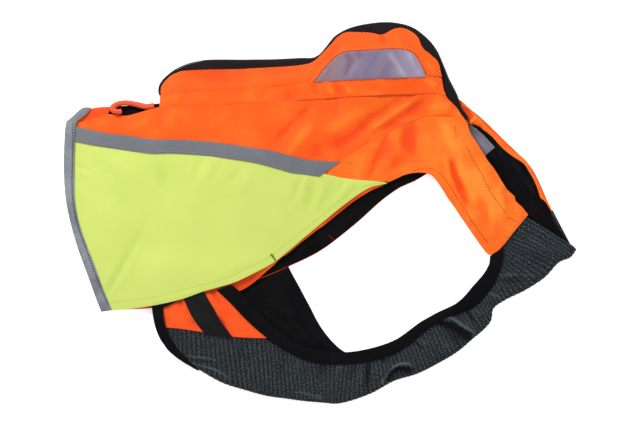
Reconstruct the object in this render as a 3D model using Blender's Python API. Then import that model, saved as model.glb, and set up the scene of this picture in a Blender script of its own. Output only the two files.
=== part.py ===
"""Dog protective vest, lying flat on its side.

Frame: +X runs from the tail to the chest, +Y from the belly to the spine and +Z up, away from the
surface that the vest lies on. The origin is under the middle of its outline, on that surface.
Plan sizes and heights below are millimetres; the meshes are made in metres.

The near side lies on top and the far side underneath. Both are flat cloth walls. The cloth that
turns from one side to the other (tail bridge, gusset, belly knit) is one wall round a fold.
"""
import bmesh
import bpy
import math
from mathutils import Vector

MM = 0.001

# ------------------------------------------------------------------ driving dimensions (mm)
SHELL = 1.2             # wall of the orange, yellow and grey cloth
THIN = 0.8              # wall of the window, the reflective strip and the label
LINING = 1.0            # wall of the black lining
WEBBING = 1.6           # wall of the belly strap
BINDING = 2.0           # folded binding round the near armhole and the belly's rear edge
FAR_BINDING = 1.2       # binding round the far armhole, pressed flat underneath
KNIT = 2.5              # wall of the belly knit
CORD = 6.0              # diameter of the tail loop
TEETH = 1.6             # thickness of the zip chain
SEAM = 0.3              # gap between neighbours at a seam
LAP = 0.5               # gap between cloths that lie on each other
NEAR_LEVEL = 7.0        # middle of the near shell above the surface, where the vest is flattest
FLAP_STEP = 1.7         # how far the far side panel is lifted by the flap that it lies on
FAR_STEP = (85, 125)    # from x to x, where the far side panel comes down from the flap
FAR_SHIFT = 9.0         # how far the far flap lies towards the chest from the near one
FAR_HEM_SHARE = 0.3     # part of that shift in the far hem binding
STACK = SHELL + LAP     # from one shell to the next one on top of it
EDGE = SEAM * 0.6       # how far a panel's edge is drawn in from its seam
FLAP_EDGE = 0.5         # the same for the flaps and the far shoulder panel
LINING_EDGE = 0.8       # the same for the linings
WING_LINING_EDGE = 9.0  # the same for the far wing's lining, inside the turned edge
WING_SPAN = ((-250, -215), (-95, -60))  # from x to x, where the flap climbs the wing and comes down
WING_TOP = (-70, -45)   # from y to y, where the flap comes down from the wing's top edge
BRIDGE_TOP = 6.2        # height of the middle of the tail bridge where its fold begins
BRIDGE_START = 0.06     # where the tail bridge begins, as a share of the way from seam to fold
BRIDGE_FAR = 0.12       # where it ends under the far side, likewise
GUSSET_TUCK = 1.5       # how far the gusset reaches under the fin
GUSSET_INSET = 2.0      # how far its fold lies inside the zip chain's line
GUSSET_FAR = 9.0        # how far its far leg reaches from that line
GUSSET_TOP = 6.4        # height of the middle of its wall where the fold begins
FAR_LIFT = (0.6, 0.85)  # shares of a far leg between which its edge climbs what it laps on
FINE_STEPS = 3          # sections from one row to the next in the short pieces

# ------------------------------------------------------------------ relief of the near side (mm)
# Puffed places: centre x, centre y, reach in x, reach in y, height
HILLS = (
    (-60, 80, 110, 55, 4.0),       # flank
    (85, 175, 70, 45, 11.0),       # hump behind the neck
    (190, 50, 60, 70, 10.0),       # mouth of the neck
    (240, -20, 50, 40, 4.0),       # chest
    (-236, 118, 26, 16, 3.0),      # lip over the cord loop
)
# Folds: start x, start y, end x, end y, half width, height (a trough is negative)
FOLDS = (
    (-49, 88, 0, 128, 9, -2.5),
    (0, 128, 37, 146, 9, -2.0),
    (-20, 68, 37, 104, 9, -2.2),
    (37, 104, 88, 127, 9, -2.0),
    (88, 127, 108, 142, 9, -1.8),
    (158, 66, 184, 22, 8, -4.0),
    (176, 76, 204, 30, 8, 2.5),
    (229, 21, 236, 0, 7, -3.0),
    (-232, 112, -180, 124, 8, 1.2),
)
# Ridges of the flap over the side panel that it lies on, in the same columns
FLAP_RIDGES = (
    (-240, 60, -262, -60, 20, 2.2),
    (-150, 45, -178, -60, 18, 2.0),
    (-95, 30, -120, -45, 18, 1.6),
    (-40, 30, -62, -20, 14, 1.2),
)
# Folds of the belly knit, in the same columns
KNIT_FOLDS = (
    (154, -132, 176, -143, 5, 3.5),
    (176, -143, 195, -152, 5, 3.0),
    (160, -146, 186, -158, 5, -3.0),
    (93, -193, 107, -189, 6, 3.0),
    (107, -189, 119, -202, 6, 3.0),
    (227, -79, 245, -77, 5, 3.0),
    (245, -77, 271, -79, 5, 2.5),
    (-152, -190, -112, -211, 6, 2.5),
    (-38, -219, 20, -233, 7, 2.5),
    (-20, -196, 60, -204, 8, -2.0),
    (255, -45, 290, -55, 8, 2.5),
)

# ------------------------------------------------------------------ sections of the near side (mm)
# Side panel: a row is a section from the spine down, the last one is the seam to the shoulder.
# top x, top y, upper x, upper y, lower x, lower y, low x, low y
SIDE_SECTIONS = (
    (-303, 112, -316, 59, -307, -24, -271, -122),
    (-284, 118, -282, 58, -269, -29, -238, -121),
    (-266, 123, -249, 57, -234, -29, -206, -119),
    (-243, 121, -222, 57, -204, -28, -174, -111),
    (-217, 128, -196, 58, -176, -24, -146, -103),
    (-201, 132, -176, 62, -152, -19, -121, -101),
    (-154, 134, -141, 68, -123, -12, -101, -98),
    (-107, 136, -106, 74, -97, -2, -83, -87),
    (-57, 139, -71, 81, -73, 9, -66, -72),
    (-7, 142, -33, 86, -47, 23, -48, -58),
    (37, 145, 2, 92, -23, 36, -33, -45),
    (79, 147, 38, 98, -3, 46, -22, -36),
    (118, 148, 71, 104, 9, 54, -13, -29),
    (156, 147, 97, 111, 17, 59, -6, -23),
    (182, 111, 117, 113, 22, 61, 2, -17),
)
TAIL_ROWS = 3           # rows of the side panel that end on the tail bridge
SLIT_END_ROW = 5        # row of the side panel where the slit ends and the yoke begins
YOKE_END_ROW = 13       # row of the side panel where the yoke ends, at the neck
ROW_STEPS = 2           # sections made from one row to the next
SIDE_ACROSS = 12
FLAP_ACROSS = 9
FAR_FLAP_COLUMNS = (1, 3, 6, 8)     # of the near flap's points, those that the far flap keeps
BRIDGE_CELLS = (3, 6)   # cells in each leg and round the fold
GUSSET_CELLS = (3, 4)
KNIT_CELLS = (5, 6)
# Shoulder panel: armhole edge x, y opposite the seam to the side panel
SHOULDER_SEAM_SIDE = ((7, -12), (34, 14), (64, 32), (83, 36), (106, 47), (131, 50))
# Shoulder panel beyond the seam: neck x, neck y, armhole x, armhole y
SHOULDER_SECTIONS = (
    (190, 91, 142, 44),
    (197, 81, 148, 35),
    (204, 71, 156, 22),
    (217, 57, 167, 7),
    (226, 43, 179, -11),
    (233, 29, 189, -23),
    (243, 17, 199, -38),
    (259, -2, 212, -53),
)
# Seam between the yoke and the fin, one point for each row of the side panel that the yoke meets
FIN_SEAM = ((-200, 147), (-151, 152), (-106, 154), (-57, 157), (-7, 163), (37, 165), (79, 167),
            (118, 169), (151, 168))
# Fin: upper edge, from the step at the tail over the hump to the neck: x, y
FIN_TOP = (
    (-200, 157), (-194, 166), (-186, 173), (-157, 178), (-101, 179), (-63, 182), (-19, 185), (-1, 198),
    (21, 221), (47, 225), (76, 222), (93, 230), (108, 229), (123, 215), (129, 203), (141, 193),
    (149, 176),
)
# Gusset: near edge x, y, fold x, y, how far the far leg stands above the surface
GUSSET_SECTIONS = (
    (-197, 158, -201, 160, 0), (-190, 165, -195, 169, 0), (-176, 175, -180, 182, 0),
    (-157, 177, -163, 189, 0), (-132, 178, -141, 192, 0), (-94, 178, -94, 192.5, 0),
    (-57, 181, -57, 193, 0), (-26, 182, -26, 194.5, 0), (-7, 189, -4, 196, 0),
    (11, 206, 7, 209, 0), (24, 217, 18, 222, 0), (47, 221, 37, 232, 0), (69, 220, 64, 238, 0),
    (93, 226, 89, 239, 0), (108, 223, 113, 234, 0), (122, 211, 131, 222, 0),
    (135, 198, 145, 206, 0), (144, 183, 154, 187, 0), (150, 163, 162, 167, 1),
    (157, 147, 172, 146, 4.6), (171, 131, 179, 129, 4.8), (183, 111, 186, 113, 4.8),
)
# Window: top x, y, bottom x, y
WINDOW_SECTIONS = (
    (-4, 167, -4, 164), (8, 183, 8, 164), (19, 193, 19, 165), (31, 200, 33, 165),
    (52, 201, 52, 166), (74, 202, 74, 167), (97, 203, 96, 168), (108, 201, 108, 169),
    (117, 198, 118, 169), (124, 186, 125, 169), (130, 174, 131, 170),
)
# Reflective strip: upper x, y, lower x, y
STRIP_SECTIONS = (
    (-308, 108, -309, 89), (-267, 99, -271, 82), (-241, 96, -244, 78), (-207, 91, -213, 74),
    (-183, 91, -187, 74), (-136, 88, -143, 71), (-88, 81, -97, 65), (-57, 76, -69, 59),
    (-18, 66, -37, 50), (22, 63, -1, 45),
)
# Flap: top x, y, upper x, y, lower x, y, hem x, y
FLAP_SECTIONS = (
    (-314, 104, -317, 37, -301, -44, -272, -123),
    (-269, 96, -269, 22, -256, -47, -241, -121),
    (-243, 93, -238, 21, -222, -47, -207, -116),
    (-210, 88, -206, 19, -188, -47, -172, -108),
    (-185, 88, -177, 21, -158, -43, -147, -99),
    (-139, 85, -136, 21, -121, -34, -109, -88),
    (-92, 78, -92, 21, -87, -28, -83, -76),
    (-61, 73, -64, 21, -59, -19, -56, -61),
    (-28, 60, -32, 21, -27, -7, -21, -32),
    (4, 49, 4, 28, 6, 7, 8, -8),
    (31, 43, 33, 33, 36, 24, 37, 15),
    (62, 40, 62, 37, 62, 34, 62, 31),
    (83, 38.2, 83, 37.4, 83, 36.7, 83, 36),
)
# Hem binding: outer x, y, inner x, y, level above the flap; it crosses the strip near its top
HEM_SECTIONS = (
    (-298, 128, -288, 124, 0.2), (-306, 122, -295, 118, 0.8), (-314, 115, -303, 109, 3.0),
    (-319, 98, -307, 93, 3.1), (-320, 71, -308, 69, 2.0), (-320, 37, -308, 37, 1.7),
    (-317, 8, -304, 11, 1.7), (-312, -14, -299, -12, 1.7), (-303, -44, -291, -42, 1.7),
    (-288, -86, -275, -82, 1.7), (-274, -124, -260, -121, 1.7),
)
# Belly wing: top x, y, middle x, y, low x, y
WING_SECTIONS = (
    (-203, -113, -201, -131, -196, -146),
    (-176, -98, -172, -128, -163, -151),
    (-148, -87, -141, -124, -131, -156),
    (-131, -86, -116, -121, -94, -160),
    (-121, -97, -94, -124, -57, -161),
)
# Belly strap: left x, y, right x, y
STRAP_SECTIONS = (
    (-178, -89, -152, -82), (-172, -108, -146, -101), (-161, -133, -128, -129),
    (-148, -151, -111, -155),
)
# Armhole binding: armhole x, y, outer x, y, level above the near shell
ARMHOLE_SECTIONS = (
    (212, -54.5, 228, -44, 2.7), (211, -64, 226, -62, 2.7), (204, -77, 220, -81, 2.7),
    (191, -92, 209, -100, 2.4), (180, -105, 191, -118, 2.2), (168, -115, 173, -126, 2.2),
    (149, -124, 153, -133, 2.2), (124, -138, 133, -146, 2.2), (98, -157, 109, -166, 2.2),
    (77, -166, 86, -179, 2.2), (54, -172, 59, -186, 2.2), (29, -175, 31, -189, 2.2),
    (-2, -172, -4, -188, 2.2), (-24, -166, -31, -179, 2.4), (-47, -154, -56, -164, 3.8),
    (-69, -134, -79, -146, 3.8), (-83, -117, -96, -130, 3.8), (-101, -99, -113, -112, 3.8),
    (-111, -91, -129, -97, 3.8),
)
# Belly knit, from its rear edge to the neck:
# near x, y, fold x, y, far x, y, near level, height at the fold, lift of the far edge
KNIT_SECTIONS = (
    (-193, -142, -158, -193, -186, -149, -0.8, 7.3, 1.7),
    (-148, -148, -123, -213, -147, -161, -0.8, 9.0, 1.7),
    (-111, -154, -92, -223, -108, -168, -0.8, 11.0, 1.7),
    (-73, -157, -66, -230, -73, -172, -0.8, 12.0, 1.7),
    (-49, -168, -44, -233, -51, -175, -0.8, 13.0, 1.7),
    (-29, -176, -22, -236, -28, -177, -0.8, 13.5, 1.7),
    (-4, -185, 1, -238, -1, -179, -0.8, 14.0, 0),
    (31, -186, 24, -239, 32, -181, -0.8, 14.0, 0),
    (58, -183, 63, -224, 61, -183, -0.8, 14.0, 0),
    (83, -176, 92, -211, 88, -177, -0.8, 14.0, 0),
    (107, -164, 121, -202, 111, -165, -0.8, 14.0, 0),
    (131, -144, 149, -188, 136, -146, -0.8, 14.0, 0),
    (152, -131, 172, -174, 158, -135, -0.8, 14.0, 0),
    (172, -124, 191, -158, 179, -125, -0.8, 13.0, 0),
    (189, -116, 204, -147, 196, -114, -0.8, 12.0, 0),
    (207, -98, 214, -121, 209, -101, -0.8, 12.0, 0),
    (218, -80, 231, -110, 219, -86, -0.8, 12.0, 0),
    (224, -61, 257, -97, 226, -68, -0.8, 13.0, 1.7),
    (226, -46, 281, -81, 229, -52, -1.6, 14.0, 1.7),
    (233, -33, 299, -62, 249, -32, -2.5, 15.0, 1.7),
    (246, -17, 313, -56, 269, -14, -2.5, 15.0, 1.7),
    (257, -5, 320, -47, 291, 3, -2.5, 14.0, 1.7),
)
# Rear binding of the belly: outer x, y, inner x, y, level above the near shell
REAR_BINDING_SECTIONS = (
    (-211, -121, -198, -119, 3.8), (-208, -139, -192, -140, 3.8), (-201, -157, -182, -157, 3.8),
    (-189, -172, -173, -173, 3.8), (-177, -186, -165, -181, 3.6), (-166, -194, -158, -189, 3.2),
)
# Tail bridge: fold x, y opposite the first rows of the side panel
BRIDGE_FOLD = ((-293, 129), (-279, 132), (-262, 133))

# ------------------------------------------------------------------ sections of the far side (mm)
# Side panel: top x, y, middle x, y, low x, y
FAR_SIDE_SECTIONS = (
    (-302, 111, -313, 34, -268, -119), (-284, 116, -286, 9, -241, -118),
    (-266, 122, -261, 6, -213, -114), (-244, 140, -226, 9, -176, -106),
    (-217, 136, -194, 16, -144, -97), (-201, 137, -169, 18, -119, -92),
    (-151, 136, -132, 26, -91, -87), (-101, 137, -92, 32, -66, -79),
    (-51, 139, -52, 36, -41, -68), (-1, 142, -11, 43, -9, -53), (43, 145, 27, 53, 14, -38),
    (81, 147, 64, 69, 51, -8), (114, 147, 91, 78, 74, 13), (139, 144, 114, 87, 99, 31),
    (153, 141, 129, 91, 117, 39), (162, 136, 148, 92, 134, 49),
)
FAR_TAIL_ROWS = 2       # rows of the far side panel that lie under the tail bridge
# Shoulder panel: neck x, y, armhole x, y
FAR_SHOULDER_SECTIONS = (
    (163, 136, 135, 48), (174, 142, 142, 46), (186, 132, 149, 43), (200, 121, 158, 31),
    (214, 108, 167, 17), (231, 91, 177, 4), (249, 74, 187, -8), (264, 58, 197, -21),
    (273, 42, 207, -34), (281, 24, 217, -47), (291, 1, 228, -59),
)
FAR_YOKE_ROWS = slice(5, 15)    # rows of the far side panel that meet the far yoke and fin
FAR_YOKE_TURNS = slice(0, 19)   # rows of the gusset that lap on the far fin
# Wing: top x, y, middle x, y, low x, y; the last row is the edge that shows in the armhole
FAR_WING_SECTIONS = (
    (-198, -109, -197, -132, -188, -153), (-151, -93, -148, -129, -144, -166),
    (-101, -86, -97, -129, -94, -175), (-66, -75, -53, -124, -44, -181),
    (-45, -65, -20, -119, 8, -170),
)
# Armhole binding: armhole x, y, outer x, y
FAR_ARMHOLE_SECTIONS = (
    (-39, -71, -52, -78), (-29, -89, -43, -97), (-13, -119, -27, -126), (2, -146, -12, -154),
    (29, -174, 19, -187), (57, -178, 61, -193), (82, -172, 89, -186), (104, -161, 114, -173),
    (129, -142, 139, -153), (154, -129, 159, -143), (176, -119, 184, -132),
    (189, -109, 201, -121), (202, -97, 214, -106), (209, -89, 222, -94),
)
# Neck rim: outer x, y, inner x, y
NECK_RIM_SECTIONS = (
    (179, 137, 184, 113), (185.5, 131.5, 189, 110), (199.5, 120.5, 197, 109), (213, 107.5, 206, 103),
    (230, 90.5, 223, 87), (248, 73.5, 243, 68), (263, 58, 257, 53), (272, 42, 265, 37),
    (280, 24, 273, 20), (288, 5, 280, 7),
)
# Neck label: the middle of its two short edges
LABEL_SECTIONS = ((192, 108, 176, 92), (218, 82, 202, 66))

CORD_STEPS = 30
# Route of the cord loop, from the end inside the slit round to the other end: x, y, z
CORD_ROUTE = (
    (-208, 133.8, 8.0), (-213, 133.2, 8.0), (-219, 132.6, 8.2), (-228, 134.6, 8.4),
    (-238, 137.2, 8.6), (-248, 137.4, 9.4), (-256, 135.5, 11.2), (-261, 131, 12.8),
    (-258, 126.5, 13.2), (-252, 125.5, 11.4), (-247, 124.5, 9.0),
)

# ------------------------------------------------------------------ colours: name, RGB, roughness
ORANGE = ("orange_ripstop", (1.0, 0.15, 0.014), 0.6)
YELLOW = ("yellow_cloth", (0.70, 0.80, 0.17), 0.6)
GREY = ("reflective_grey", (0.20, 0.22, 0.24), 0.4)
BLACK = ("black_tape", (0.008, 0.008, 0.010), 0.7)
DARK_LINING = ("black_lining", (0.006, 0.006, 0.007), 0.6)
CHARCOAL = ("charcoal_knit", (0.028, 0.036, 0.042), 0.85)
CLEAR = ("window_film", (0.31, 0.27, 0.41), 0.25)
CORD_ORANGE = ("cord_orange", (0.85, 0.11, 0.035), 0.7)
LABEL_LILAC = ("label_lilac", (0.34, 0.32, 0.42), 0.6)


# ------------------------------------------------------------------ curves and heights
def spline(points, count):
    """count + 1 points at even steps along a smooth curve through the given points."""
    points = [Vector(point) for point in points]
    knots = [0.0]
    for first, second in zip(points, points[1:]):
        knots.append(knots[-1] + (second - first).length)
    curve, span = [], 0
    for step in range(count + 1):
        place = knots[-1] * step / count
        while span < len(points) - 2 and place > knots[span + 1]:
            span += 1
        curve.append(between_knots(points, knots, span, place))
    return curve


def by_rows(points, steps):
    """A smooth curve through the given points, with the same number of steps in each span."""
    points = [Vector(point) for point in points]
    knots = [0.0]
    for first, second in zip(points, points[1:]):
        knots.append(knots[-1] + (second - first).length)
    curve = [points[0]]
    for span in range(len(points) - 1):
        for step in range(1, steps + 1):
            place = knots[span] + (knots[span + 1] - knots[span]) * step / steps
            curve.append(between_knots(points, knots, span, place))
    return curve


def row_values(table, column, steps):
    """A column of a table, worked out smoothly for every section."""
    line = by_rows([(index, row[column]) for index, row in enumerate(table)], steps)
    return [point.y for point in line]


def between_knots(points, knots, span, place):
    """The point of a Catmull-Rom curve at a place between two knots."""
    def slope(index):
        low, high = max(index - 1, 0), min(index + 1, len(points) - 1)
        return (points[high] - points[low]) / (knots[high] - knots[low])

    size = knots[span + 1] - knots[span]
    u = (place - knots[span]) / size
    return (points[span] * (2 * u**3 - 3 * u**2 + 1) + slope(span) * size * (u**3 - 2 * u**2 + u)
            + points[span + 1] * (3 * u**2 - 2 * u**3) + slope(span + 1) * size * (u**3 - u**2))


def ramp(value, start, end):
    """0 before start, 1 after end and a soft rise between."""
    u = min(max((value - start) / (end - start), 0.0), 1.0)
    return u * u * (3 - 2 * u)


def fold_height(folds, x, y):
    """The sum of the folds at a place: each is a rounded ridge that dies away at its ends."""
    total = 0.0
    for x0, y0, x1, y1, half_width, height in folds:
        along = Vector((x1 - x0, y1 - y0))
        offset = Vector((x - x0, y - y0))
        u = min(max(offset.dot(along) / along.length_squared, 0.0), 1.0)
        distance = (offset - along * u).length
        total += height * math.exp(-(distance / half_width) ** 2)
    return total


def near_height(point):
    """Height of the middle of the near shell over a plan point."""
    height = NEAR_LEVEL
    for x, y, reach_x, reach_y, rise in HILLS:
        height += rise * math.exp(-((point.x - x) / reach_x) ** 2 - ((point.y - y) / reach_y) ** 2)
    return height + fold_height(FOLDS, point.x, point.y)


def far_height(point):
    """Height of the middle of the far shell: on the far flap and wing, or on the surface."""
    return SHELL / 2 + FLAP_STEP * (1 - ramp(point.x, *FAR_STEP))


def near_flap_height(point):
    """Height of the middle of the flap: it lies on the side panel, and higher on wing and strap."""
    climb, fall = WING_SPAN
    over_wing = ramp(point.x, *climb) * (1 - ramp(point.x, *fall)) * (1 - ramp(point.y, *WING_TOP))
    lift = STACK + (WEBBING + STACK + LAP) * over_wing
    return near_height(point) + lift + fold_height(FLAP_RIDGES, point.x, point.y)


# ------------------------------------------------------------------ grids of plan or space points
def pairs(row, count):
    """The first count x, y pairs of a table's row as plan points."""
    return [Vector((row[2 * i], row[2 * i + 1])) for i in range(count)]


def loft(table, columns, steps, across):
    """Sections through each row of a table, joined by smooth lines along the panel."""
    rows = [pairs(row, columns) for row in table]
    lines = [by_rows([row[column] for row in rows], steps) for column in range(columns)]
    return [spline(section, across) for section in zip(*lines)]


def ruled(first, second, across):
    """Straight sections between two edges with equal numbers of points."""
    return [[a.lerp(b, i / across) for i in range(across + 1)] for a, b in zip(first, second)]


def raised(grid, height):
    """The plan grid lifted to a height that is worked out for each point."""
    return [[Vector((point.x, point.y, height(point))) for point in line] for line in grid]


def trimmed(grid, gap=EDGE):
    """The grid with its border drawn in along its own lines."""
    rows = [drawn_in(line, gap) for line in grid]
    return [list(row) for row in zip(*(drawn_in(line, gap) for line in zip(*rows)))]


def drawn_in(line, gap):
    line = list(line)
    ends = (line[0] + (line[1] - line[0]).normalized() * gap,
            line[-1] + (line[-2] - line[-1]).normalized() * gap)
    return [ends[0]] + line[1:-1] + [ends[1]]


def grid_normals(grid):
    """Unit normals of a grid of space points."""
    last_row, last_column = len(grid) - 1, len(grid[0]) - 1
    normals = []
    for i, line in enumerate(grid):
        normals.append([])
        for j in range(len(line)):
            along = grid[min(i + 1, last_row)][j] - grid[max(i - 1, 0)][j]
            over = line[min(j + 1, last_column)] - line[max(j - 1, 0)]
            normals[-1].append(along.cross(over).normalized())
    return normals


def moved_out(grid, normals, distance):
    """Space points moved along their normals."""
    return [[point + normal * distance for point, normal in zip(line, side)]
            for line, side in zip(grid, normals)]


def fold_sections(rows, wall, cells, near_folds=()):
    """Sections of a wall that turns from the near side round a fold to the far side.

    A row is near point, fold point, far point (plan), near height, height at the fold,
    floor under the far leg and lift of the far edge.
    """
    leg_cells, arc_cells = cells
    grid = []
    for near, fold, far, near_z, top_z, floor, far_lift in rows:
        radius = (top_z - floor - wall / 2) / 2
        outward = (fold - (near + far) / 2).normalized()
        centre = fold - outward * (radius + wall / 2)
        section = []
        for i in range(leg_cells):
            u = i / leg_cells
            place = near.lerp(centre, u)
            relief = fold_height(near_folds, place.x, place.y) * math.sin(math.pi * u)
            section.append(Vector((place.x, place.y, near_z + (top_z - near_z) * ramp(u, 0, 1) + relief)))
        for i in range(arc_cells + 1):
            angle = math.pi * (0.5 - i / arc_cells)
            place = centre + outward * radius * math.cos(angle)
            section.append(Vector((place.x, place.y, floor + wall / 2 + radius * (1 + math.sin(angle)))))
        for i in range(1, leg_cells):
            u = i / (leg_cells - 1)
            place = centre.lerp(far, u)
            section.append(Vector((place.x, place.y, floor + wall / 2 + far_lift * ramp(u, *FAR_LIFT))))
        grid.append(section)
    return grid


# ------------------------------------------------------------------ solids
def material(look):
    """A Principled material with a part's own colour."""
    name, colour, roughness = look
    made = bpy.data.materials.get(name)
    if made is None:
        made = bpy.data.materials.new(name)
        made.use_nodes = True
        shader = made.node_tree.nodes["Principled BSDF"]
        shader.inputs["Base Color"].default_value = (*colour, 1.0)
        shader.inputs["Roughness"].default_value = roughness
        shader.inputs["Metallic"].default_value = 0.0
    return made


def wall_between(name, upper, lower, look):
    """A closed cloth wall from its two skins, which are grids of space points in mm."""
    rows, columns = len(upper), len(upper[0])
    mesh = bpy.data.meshes.new(name)
    shape = bmesh.new()
    skins = [[[shape.verts.new(point * MM) for point in line] for line in skin]
             for skin in (upper, lower)]
    for skin in skins:
        for i in range(rows - 1):
            for j in range(columns - 1):
                shape.faces.new((skin[i][j], skin[i + 1][j], skin[i + 1][j + 1], skin[i][j + 1]))
    for top, under in zip(rim_of(skins[0]), rim_of(skins[1])):
        shape.faces.new((top[0], top[1], under[1], under[0]))
    bmesh.ops.recalc_face_normals(shape, faces=shape.faces)
    shape.to_mesh(mesh)
    shape.free()
    mesh.shade_smooth()
    mesh.set_sharp_from_angle(angle=math.radians(50))
    mesh.materials.append(material(look))
    piece = bpy.data.objects.new(name, mesh)
    bpy.context.scene.collection.objects.link(piece)
    return piece


def rim_of(skin):
    """The edges round a grid of vertices, in order."""
    loop = list(skin[0]) + [line[-1] for line in skin[1:-1]]
    loop += list(reversed(skin[-1])) + [line[0] for line in reversed(skin[1:-1])]
    return list(zip(loop, loop[1:] + loop[:1]))


def flat_cloth(name, grid, wall, look):
    """A wall of a nearly level cloth, with its thickness upright."""
    half = Vector((0, 0, wall / 2))
    upper = [[point + half for point in line] for line in grid]
    lower = [[point - half for point in line] for line in grid]
    return wall_between(name, upper, lower, look)


def folded_cloth(name, grid, wall, look):
    """A wall of a cloth that turns over, with its thickness along the normals."""
    normals = grid_normals(grid)
    return wall_between(name, moved_out(grid, normals, wall / 2),
                        moved_out(grid, normals, -wall / 2), look)


# ------------------------------------------------------------------ the near side
def near_level(rise):
    return lambda point: near_height(point) + rise


def build_near_panels():
    """Side panel, yoke, fin, shoulder panel: they share the points of their seams."""
    side = loft(SIDE_SECTIONS, 4, ROW_STEPS, SIDE_ACROSS)
    yoke_low = [line[0] for line in side[SLIT_END_ROW * ROW_STEPS:YOKE_END_ROW * ROW_STEPS + 1]]
    yoke_top = by_rows(FIN_SEAM, ROW_STEPS)
    yoke = ruled(yoke_low, yoke_top, across=2)
    fin = ruled(yoke_top, spline(FIN_TOP, len(yoke_top) - 1), across=4)
    seam = list(reversed(side[-1]))
    seam_side = spline(SHOULDER_SEAM_SIDE, len(seam) - 1)
    shoulder = ruled(seam, seam_side, across=5)
    edges = loft(SHOULDER_SECTIONS, 2, ROW_STEPS, across=1)
    shoulder += ruled([row[0] for row in edges], [row[1] for row in edges], across=5)
    for name, grid in (("near_side_panel", side), ("near_yoke", yoke), ("near_fin", fin),
                       ("near_shoulder_panel", shoulder)):
        flat_cloth(name, raised(trimmed(grid), near_height), SHELL, ORANGE)
    return side


def build_near_layers():
    """What lies on the near panels."""
    on_shell = (SHELL + THIN) / 2 + LAP
    window = loft(WINDOW_SECTIONS, 2, ROW_STEPS, across=3)
    flat_cloth("near_window", raised(window, near_level(on_shell)), THIN, CLEAR)
    flap = loft(FLAP_SECTIONS, 4, ROW_STEPS, FLAP_ACROSS)
    flat_cloth("near_flap", raised(trimmed(flap, FLAP_EDGE), near_flap_height), SHELL, YELLOW)
    strip = loft(STRIP_SECTIONS, 2, ROW_STEPS, across=2)
    flat_cloth("near_reflective_strip", raised(strip, lambda p: near_flap_height(p) + on_shell), THIN, GREY)
    hem = levelled(HEM_SECTIONS, ROW_STEPS, 1, near_flap_height)
    flat_cloth("near_hem_binding", hem, SHELL, GREY)
    wing = loft(WING_SECTIONS, 3, FINE_STEPS, across=5)
    flat_cloth("near_wing", raised(wing, near_level(STACK)), SHELL, ORANGE)
    strap = loft(STRAP_SECTIONS, 2, FINE_STEPS, across=1)
    on_wing = STACK + (SHELL + WEBBING) / 2 + LAP
    flat_cloth("near_strap", raised(strap, near_level(on_wing)), WEBBING, BLACK)
    return flap


def levelled(table, steps, across, base):
    """A band between two edges whose rows end with its level above the cloth underneath."""
    grid = loft(table, 2, steps, across)
    levels = row_values(table, -1, steps)
    return [[Vector((point.x, point.y, base(point) + level)) for point in line]
            for line, level in zip(grid, levels)]


# ------------------------------------------------------------------ the folds
def build_tail_bridge(side):
    """The side panel's turn over the spine at the tail."""
    near = [line[0] for line in side[:(TAIL_ROWS - 1) * ROW_STEPS + 1]]
    folds = by_rows(BRIDGE_FOLD, ROW_STEPS)
    rows = []
    for edge, fold in zip(near, folds):
        start = edge.lerp(fold, BRIDGE_START)
        far = edge.lerp(fold, BRIDGE_FAR)
        rows.append((start, fold, far, near_height(start), BRIDGE_TOP, 0.0, 0.0))
    folded_cloth("tail_bridge", fold_sections(rows, SHELL, BRIDGE_CELLS), SHELL, ORANGE)


def build_gusset():
    """Black gusset over the spine, tucked under the fin, and the zip chain on its fold."""
    rows = []
    near = by_rows([row[0:2] for row in GUSSET_SECTIONS], ROW_STEPS)
    folds = by_rows([row[2:4] for row in GUSSET_SECTIONS], ROW_STEPS)
    floors = row_values(GUSSET_SECTIONS, 4, ROW_STEPS)
    for edge, fold, floor in zip(near, folds, floors):
        outward = (fold - edge).normalized()
        tucked = edge - outward * GUSSET_TUCK
        far = fold - outward * GUSSET_FAR
        stand = max(0.0, floor)
        level = near_height(tucked) - STACK - SEAM
        rows.append((tucked, fold - outward * GUSSET_INSET, far, level,
                     min(level, GUSSET_TOP + stand), stand, max(0.0, STACK - stand)))
    grid = fold_sections(rows, SHELL, GUSSET_CELLS)
    folded_cloth("spine_gusset", grid, SHELL, BLACK)
    leg_cells, arc_cells = GUSSET_CELLS
    outermost = leg_cells + arc_cells // 2
    crest = slice(outermost - 1, outermost + 2)
    chain = moved_out([line[crest] for line in grid], [line[crest] for line in grid_normals(grid)],
                      SHELL / 2 + SEAM + TEETH / 2)
    folded_cloth("spine_zip_chain", trimmed(chain, FLAP_EDGE), TEETH, BLACK)


def build_belly():
    """Knit round the belly and chest, with the bindings of the armhole and the rear edge."""
    columns = [by_rows([row[i:i + 2] for row in KNIT_SECTIONS], ROW_STEPS) for i in (0, 2, 4)]
    levels = [row_values(KNIT_SECTIONS, column, ROW_STEPS) for column in (6, 7, 8)]
    rows = [(near, fold, far, near_height(near) + level, top, 0.0, max(0.0, lift))
            for near, fold, far, level, top, lift in zip(*columns, *levels)]
    folded_cloth("belly_knit", fold_sections(rows, KNIT, KNIT_CELLS, KNIT_FOLDS), KNIT, CHARCOAL)
    armhole = levelled(ARMHOLE_SECTIONS, ROW_STEPS, 2, near_height)
    flat_cloth("near_armhole_binding", armhole, BINDING, BLACK)
    rear = levelled(REAR_BINDING_SECTIONS, FINE_STEPS, 2, near_height)
    flat_cloth("belly_rear_binding", rear, BINDING, BLACK)


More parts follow.
